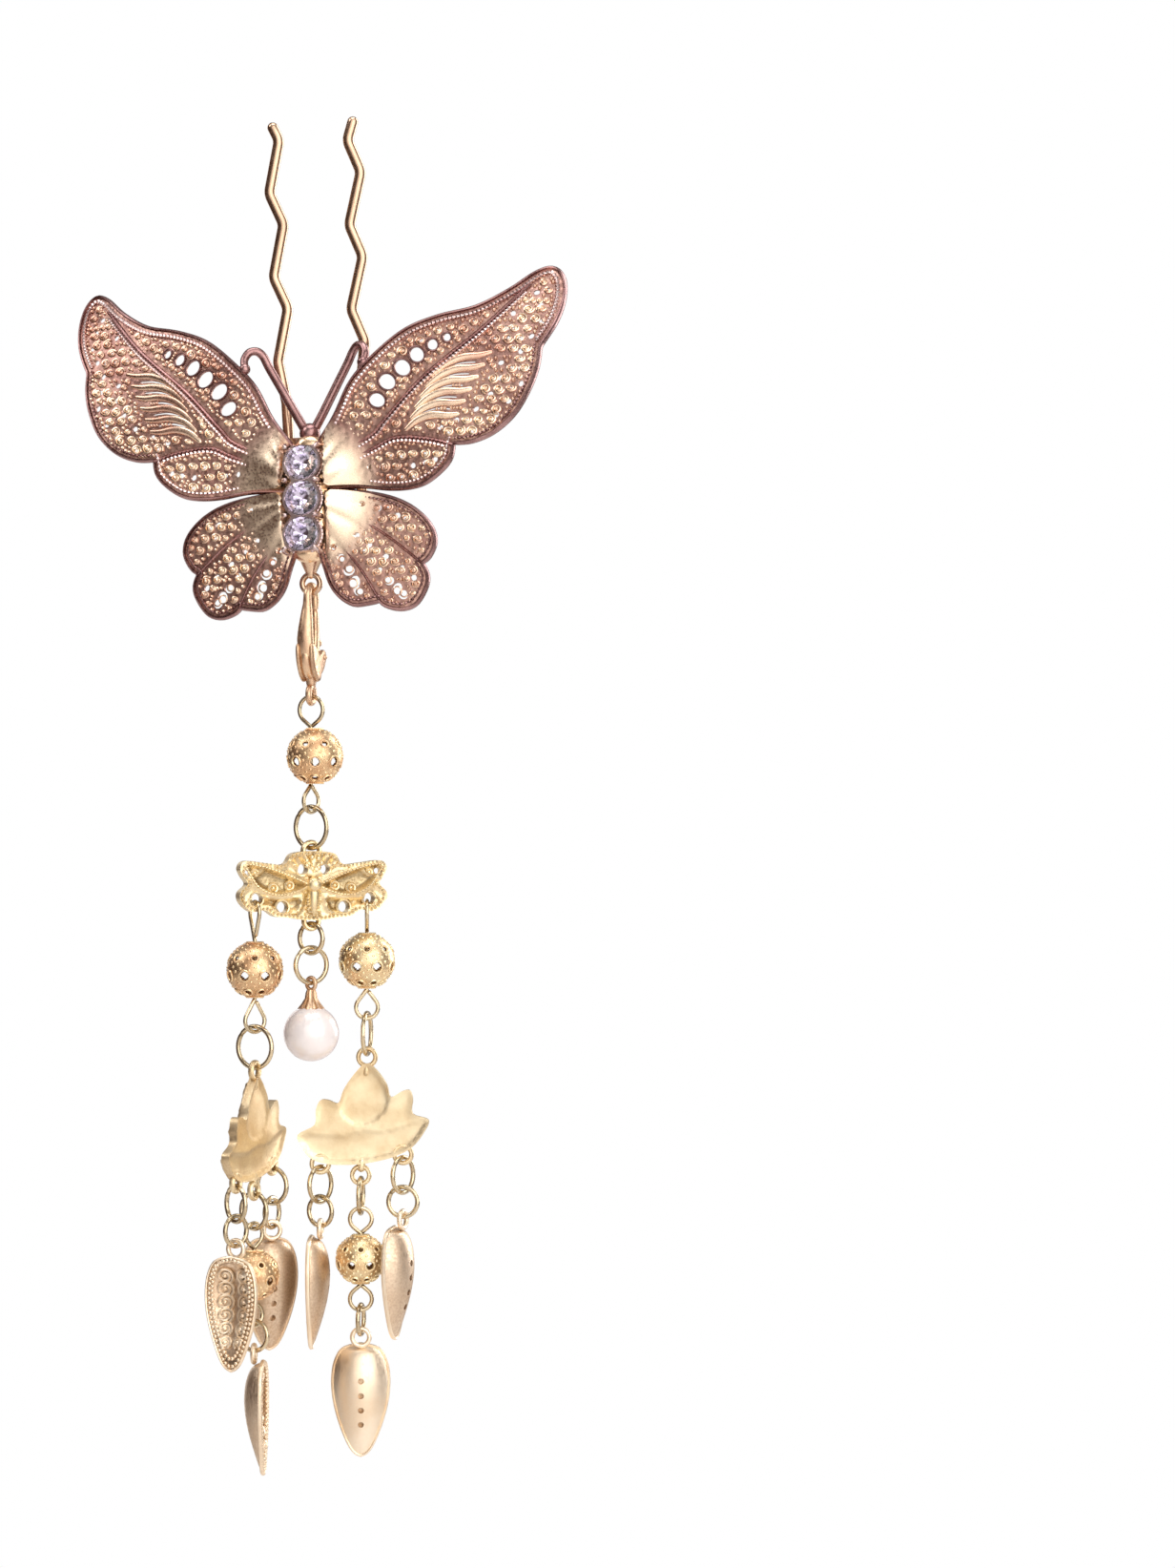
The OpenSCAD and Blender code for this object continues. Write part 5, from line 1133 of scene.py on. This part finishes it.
for side in (-1, 1):
    wing_edge = evenly(plate_wing, 0.2) * (side, 1)
    plate_parts.append(rope(upright(wing_edge, -0.98), 0.17, 0.36))
    for x, z, radius in ((0.31, 0.0, 0.44), (0.53, -0.07, 0.46), (0.78, 0.38, 0.36)):
        x, z = side * x * plate_half, z * plate_rise
        plate_parts += [tube(upright(circle((x, z), radius, 18), -0.3), 0.17, 7, True),
            grains([(x, -0.24, z)], 0.3, 12, 7)]
    bead_line = evenly(plate_edge, 0.46) * (side, 1) * (0.955, 0.93)
    plate_parts.append(grains(upright(bead_line, -0.86), 0.17))
    for x, z, radius in plate_eyelets:
        if radius > 0.5:
            plate_parts.append(
                tube(upright(circle((side * x, z), 0.74, 20), -0.6), 0.14, 7, True))
spread = np.stack([np.linspace(-0.42, 0.42, 5).repeat(9),
    np.tile(np.linspace(-3.0, -0.4, 9), 5)], 1)
spread = spread + random.uniform(-0.12, 0.12, spread.shape)
plate_parts += [grains([(0, -0.95, 0.1)], 0.85, 20, 11),
    tube(np.array([(0, -0.7, 0.5), (0, -0.85, -0.8), (0, -0.8, -2.0), (0, -0.62, -3.1)]),
        [0.5, 0.62, 0.5, 0.3], 16),
    grains(upright(spread * (1.6, 1), -0.75 - 0.2 * np.cos(spread[:, 0] * 3)), 0.17),
    grains([(0.85 * math.cos(a), -0.78, 2.35 + 0.6 * math.sin(a)) for a in np.arange(7) * 0.9],
        0.3, 9, 5)]
piece("plate_casting", hung(plate_parts, plate_middle, plate_turn), plate_gold, "drop",
    ["butterfly_plate"])

# ---------------------------------------------------------------- pearl and its cap
# A round imitation pearl, pinkish white under a clear coat, glued on the peg of a small fluted
# cap. The cap's own eye hangs in the lower of two jump rings under the middle of the plate.

pearl_middle = np.array([*tail_loop_foot[:2], -83.1579])
pearl_coat, shader, feed, add = nodes_of("pearl_coat")
where = add("TexCoord").outputs["Object"]
cloud = add("TexNoise", {"Vector": where, "Scale": 240.0, "Detail": 3.0})
ramp = add("ValToRGB", {"Fac": cloud.outputs["Fac"]})
ramp.color_ramp.elements[0].color = (0.88, 0.82, 0.81, 1)
ramp.color_ramp.elements[1].color = (0.96, 0.91, 0.91, 1)
fine = add("TexNoise", {"Vector": where, "Scale": 2600.0, "Detail": 4.0})
bump = add("Bump",
    {"Height": fine.outputs["Fac"], "Strength": 0.12, "Distance": grain_height / 2})
feed(shader, {"Base Color": ramp.outputs["Color"], "Normal": bump.outputs[0],
    "Roughness": 0.3, "Metallic": 0.12, "Coat Weight": 1.0, "Coat Roughness": 0.16,
    "Sheen Weight": 0.35, "Sheen Tint": (1, 0.8, 0.82, 1)})
piece("pearl_ball", [grains([pearl_middle], 2.9, 64, 41)], pearl_coat, "drop", ["pearl"])
cap_top = pearl_middle + (0, 0, 4.55)
cap_profile = [(0.001, 0.05), (0.42, 0.0), (0.55, -0.35), (0.62, -0.9), (0.95, -1.45),
    (1.32, -1.95), (1.30, -2.06), (1.1, -1.98), (0.7, -1.6), (0.001, -1.5)]
piece("pearl_bell", [turned(cap_profile, cap_top, sides=48, wave=10, flute=0.07),
    ring(cap_top + (0, 0, 0.62), 0.63, thin_wire, 28, 10, math.radians(-28)),
    tube(np.array([cap_top - (0, 0, 1.2), cap_top - (0, 0, 3.2)]), 0.39, 12)],
    clasp_gold, "drop", ["pearl_cap"])

# ---------------------------------------------------------------- lotus plates
# Two flat castings of a lotus in its boat of petals, satin gold, that hang from the butterfly
# plate by their top eye and carry three drops each. The left one is seen nearly edge on and the
# right one from its plain back.

lotus_half, lotus_fall, lotus_skew, drop_side = 6.8, 11.2, -0.17, 4.3
eye_radius, eye_wire = 0.9, 0.25
lotus_gold = metal("lotus_gold", (0.92, 0.78, 0.53), (0.76, 0.59, 0.36), (0.38, 0.24, 0.13),
    0.42, 380, 5200, 0.25)


def skewed(points):
    """Flat points slid down by a share of how far right they lie, as the casting slants."""
    return points + np.stack([0 * points[:, 0], lotus_skew * points[:, 0]], 1)


lotus_edge = curve([(0.05, -0.06), (0.20, -0.16), (0.33, -0.28), (0.40, -0.40), (0.56, -0.36),
    (0.68, -0.355), (0.74, -0.44), (0.75, -0.58), (1, -0.655), (0.93, -0.78), (0.76, -0.90),
    (0.50, -0.965), (0.24, -0.99), (0, -1)], 4, lotus_half, lotus_fall)
lotus_outline = skewed(np.concatenate([lotus_edge, (lotus_edge * (-1, 1))[::-1][1:]]))
bud = skewed(both_halves(curve([(0, -0.09), (0.20, -0.20), (0.36, -0.36), (0.34, -0.50),
    (0.20, -0.60), (0, -0.64)], 5, lotus_half, lotus_fall)))
boat = skewed(both_halves(curve([(0, -0.70), (0.40, -0.72), (0.74, -0.68), (0.95, -0.68),
    (0.88, -0.78), (0.70, -0.88), (0.40, -0.94), (0, -0.96)], 5, lotus_half, lotus_fall)))
petal_lines = []
for side in (-1, 1):
    for table in ([(0.02, -0.12), (0.10, -0.30), (0.10, -0.48), (0, -0.60)],
            [(0.22, -0.60), (0.42, -0.50), (0.60, -0.40), (0.70, -0.38)],
            [(0.30, -0.66), (0.52, -0.58), (0.72, -0.50), (0.74, -0.46)],
            [(0.10, -0.93), (0.24, -0.84), (0.30, -0.74)],
            [(0.36, -0.93), (0.50, -0.84), (0.56, -0.74)],
            [(0.62, -0.90), (0.76, -0.82), (0.82, -0.72)]):
        petal_lines.append((skewed(curve(table, 5, lotus_half * side, lotus_fall)), 0.3, 0.22))


def lotus(shade_and_wear):
    """The plate with its bud and boat raised in front as cushions and pressed a little into
    its back, a raised edge, petal lines, and a ring at each of its four holes."""
    edge = looped(lotus_outline)

    def swell(p):
        rise = 0 * p[:, 0]
        for shape in (bud, boat):
            near = np.clip(distance(p, looped(shape)) / 1.5, 0, 1)
            rise = np.where(inside(p, shape), 0.22 + 0.45 * np.sqrt(1 - (1 - near) ** 2), rise)
        return rise

    def front(p):
        return -0.3 - swell(p) - carved(p, 0, petal_lines + [(edge, 0.16, 0.3)], [])

    def back(p):
        return 0.35 - 0.25 * swell(p) + 0.08 * np.exp(-(distance(p, edge) / 0.35) ** 2)

    body = casting(lotus_outline, [], front, back, 0.26)
    depth = body[0][:, 1]
    parts = [(*body, shade_and_wear + np.clip((depth + 0.52) / 0.2, 0, 0.5) * (depth < 0.1))]
    for x, z in ((0, 0), (-drop_side, -10.68), (0, -12.35), (drop_side, -10.68)):
        parts.append(ring((x, 0, z + lotus_skew * x), eye_radius, eye_wire, 32, 10, thick=1.3))
    parts.append(tube(np.array([(0, 0, -1.0), (0, 0, -1.7)]), 0.36, 12))
    parts.append(tube(np.array([(0, 0, -10.9), (0, 0, -11.6)]), 0.45, 12))
    return parts


# The last number darkens the whole casting: painted shade on the left lotus, which gets less light.
for node, side, turn, tilt, shade_and_wear in (("left_lotus", -1, 263, -1, 0.24),
        ("right_lotus", 1, 192, -3, 0.0)):
    eye_place = (side * strand_side, 0, 0) @ turning(math.radians(plate_turn), 0, 1)
    eye_place = plate_middle + eye_place
    eye_place[2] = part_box(node)[1][2] * 1000 - eye_radius - eye_wire
    piece(node + "_casting", hung(lotus(shade_and_wear), eye_place, turn, tilt), lotus_gold, "drop",
        [node])

# ---------------------------------------------------------------- leaves
# Six hollow leaves, each pressed from sheet as a deep dish, with a beaded wire round its rim,
# a row of small holes along its keel and scrolls of wire soldered in its hollow front.

leaf_gold = metal("leaf_gold", (1.0, 0.86, 0.68), (0.90, 0.73, 0.54), (0.40, 0.22, 0.11), 0.42,
    240, 4200, 0.06)
leaf_long, leaf_wide, leaf_deep = 11.8, 6.0, 1.9
leaf_edge = curve([(0, 0), (0.62, -0.04), (0.90, -0.15), (1, -0.30), (0.97, -0.46), (0.84, -0.62),
    (0.63, -0.78), (0.40, -0.91), (0.20, -0.975), (0, -1)], 6, leaf_wide / 2, leaf_long)
leaf_outline = both_halves(leaf_edge)
dish_axis = ((leaf_wide / 2) ** 2 - leaf_deep ** 2) / (2 * leaf_deep)


def dish(p, inset):
    """Depth of the leaf's dish: a circle about an axis in front of the rim, whose radius
    follows the leaf's half width, less an inset."""
    order = np.argsort(-leaf_edge[:, 1])
    half = np.interp(-p[:, 1], -leaf_edge[order, 1], leaf_edge[order, 0])
    reach = np.sqrt(half ** 2 + dish_axis ** 2) - inset
    deep = np.sqrt(np.maximum(reach ** 2 - p[:, 0] ** 2, 0)) - dish_axis
    return -leaf_deep / 2 + np.maximum(deep, 0.0)


def leaf(node, turn, shade_and_wear):
    """One leaf hung from its eye, its back darkened by a given share of painted shade: the shell
    with its keel holes and a liner in it, the rim, two rows of grains inside it, and scrolls
    ending in a grain."""
    holes = [circle((0, -leaf_long * (0.32 + 0.13 * k)), 0.32, 12) for k in range(4)]
    shell = casting(leaf_outline, holes, lambda p: dish(p, 0.55),
        lambda p: dish(p, 0.0) + 0.04, 0.3)
    liner = casting(leaf_outline * (0.82, 0.9) + (0, -0.6), [], lambda p: dish(p, 0.62),
        lambda p: dish(p, 0.56), 0.5)
    rim = upright(looped(leaf_outline) * (0.985, 0.995), -leaf_deep / 2)
    parts = [(*shell, np.repeat([0.35, shade_and_wear], len(shell[0]) // 2)), (*liner, 0.55),
        tube(evenly(rim, 0.3)[:-1], 0.16, 8, True, 1.5)]
    bead_line = evenly(looped(leaf_outline) * (0.86, 0.935) + (0, -0.3), 0.5)[:-1]
    for share in (1.0, 0.86):
        row = bead_line * (share, 0.5 + 0.5 * share)
        parts.append(grains(upright(row, -leaf_deep / 2 - 0.08), 0.21, 8, 4))
    angle = np.linspace(0, 3.3 * math.pi, 20)
    for k in range(6):
        z = -leaf_long * (0.17 + 0.115 * k)
        half = np.interp(-z, -leaf_edge[:, 1], leaf_edge[:, 0])
        radius = 0.3 * half * np.linspace(0.25, 1, 20)
        for side in (-1, 1):
            flat = np.stack([side * (0.38 * half + radius * np.cos(angle)),
                z + radius * np.sin(angle)], 1)
            scroll = upright(flat, dish(flat, 0.62) - 0.22)
            parts += [tube(scroll, 0.17, 6),
                grains([(side * 0.38 * half, scroll[0, 1], z)], 0.22, 9, 5)]
    parts = hung(parts, (0, 0, -0.75), 0)
    parts.append(ring((0, 0, 0), eye_radius, eye_wire, 28, 10, thick=1.1))
    eye_place = middle_of(node.replace("_leaf", "_link"))
    eye_place[2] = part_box(node)[1][2] * 1000 - eye_radius - eye_wire
    piece(node + "_dish", hung(parts, eye_place, turn), leaf_gold, "drop", [node])


# The last number darkens each leaf's back: painted shade, more on some leaves than on others.
for node, turn, shade_and_wear in (("left_front_leaf", -12, 0.1), ("left_rear_leaf", 215, 0.6),
        ("right_inner_leaf", 280, 0.55), ("right_outer_leaf", 263, 0.5),
        ("left_middle_leaf", 101, 0.25), ("right_middle_leaf", 198, 0.0)):
    leaf(node, turn, shade_and_wear)
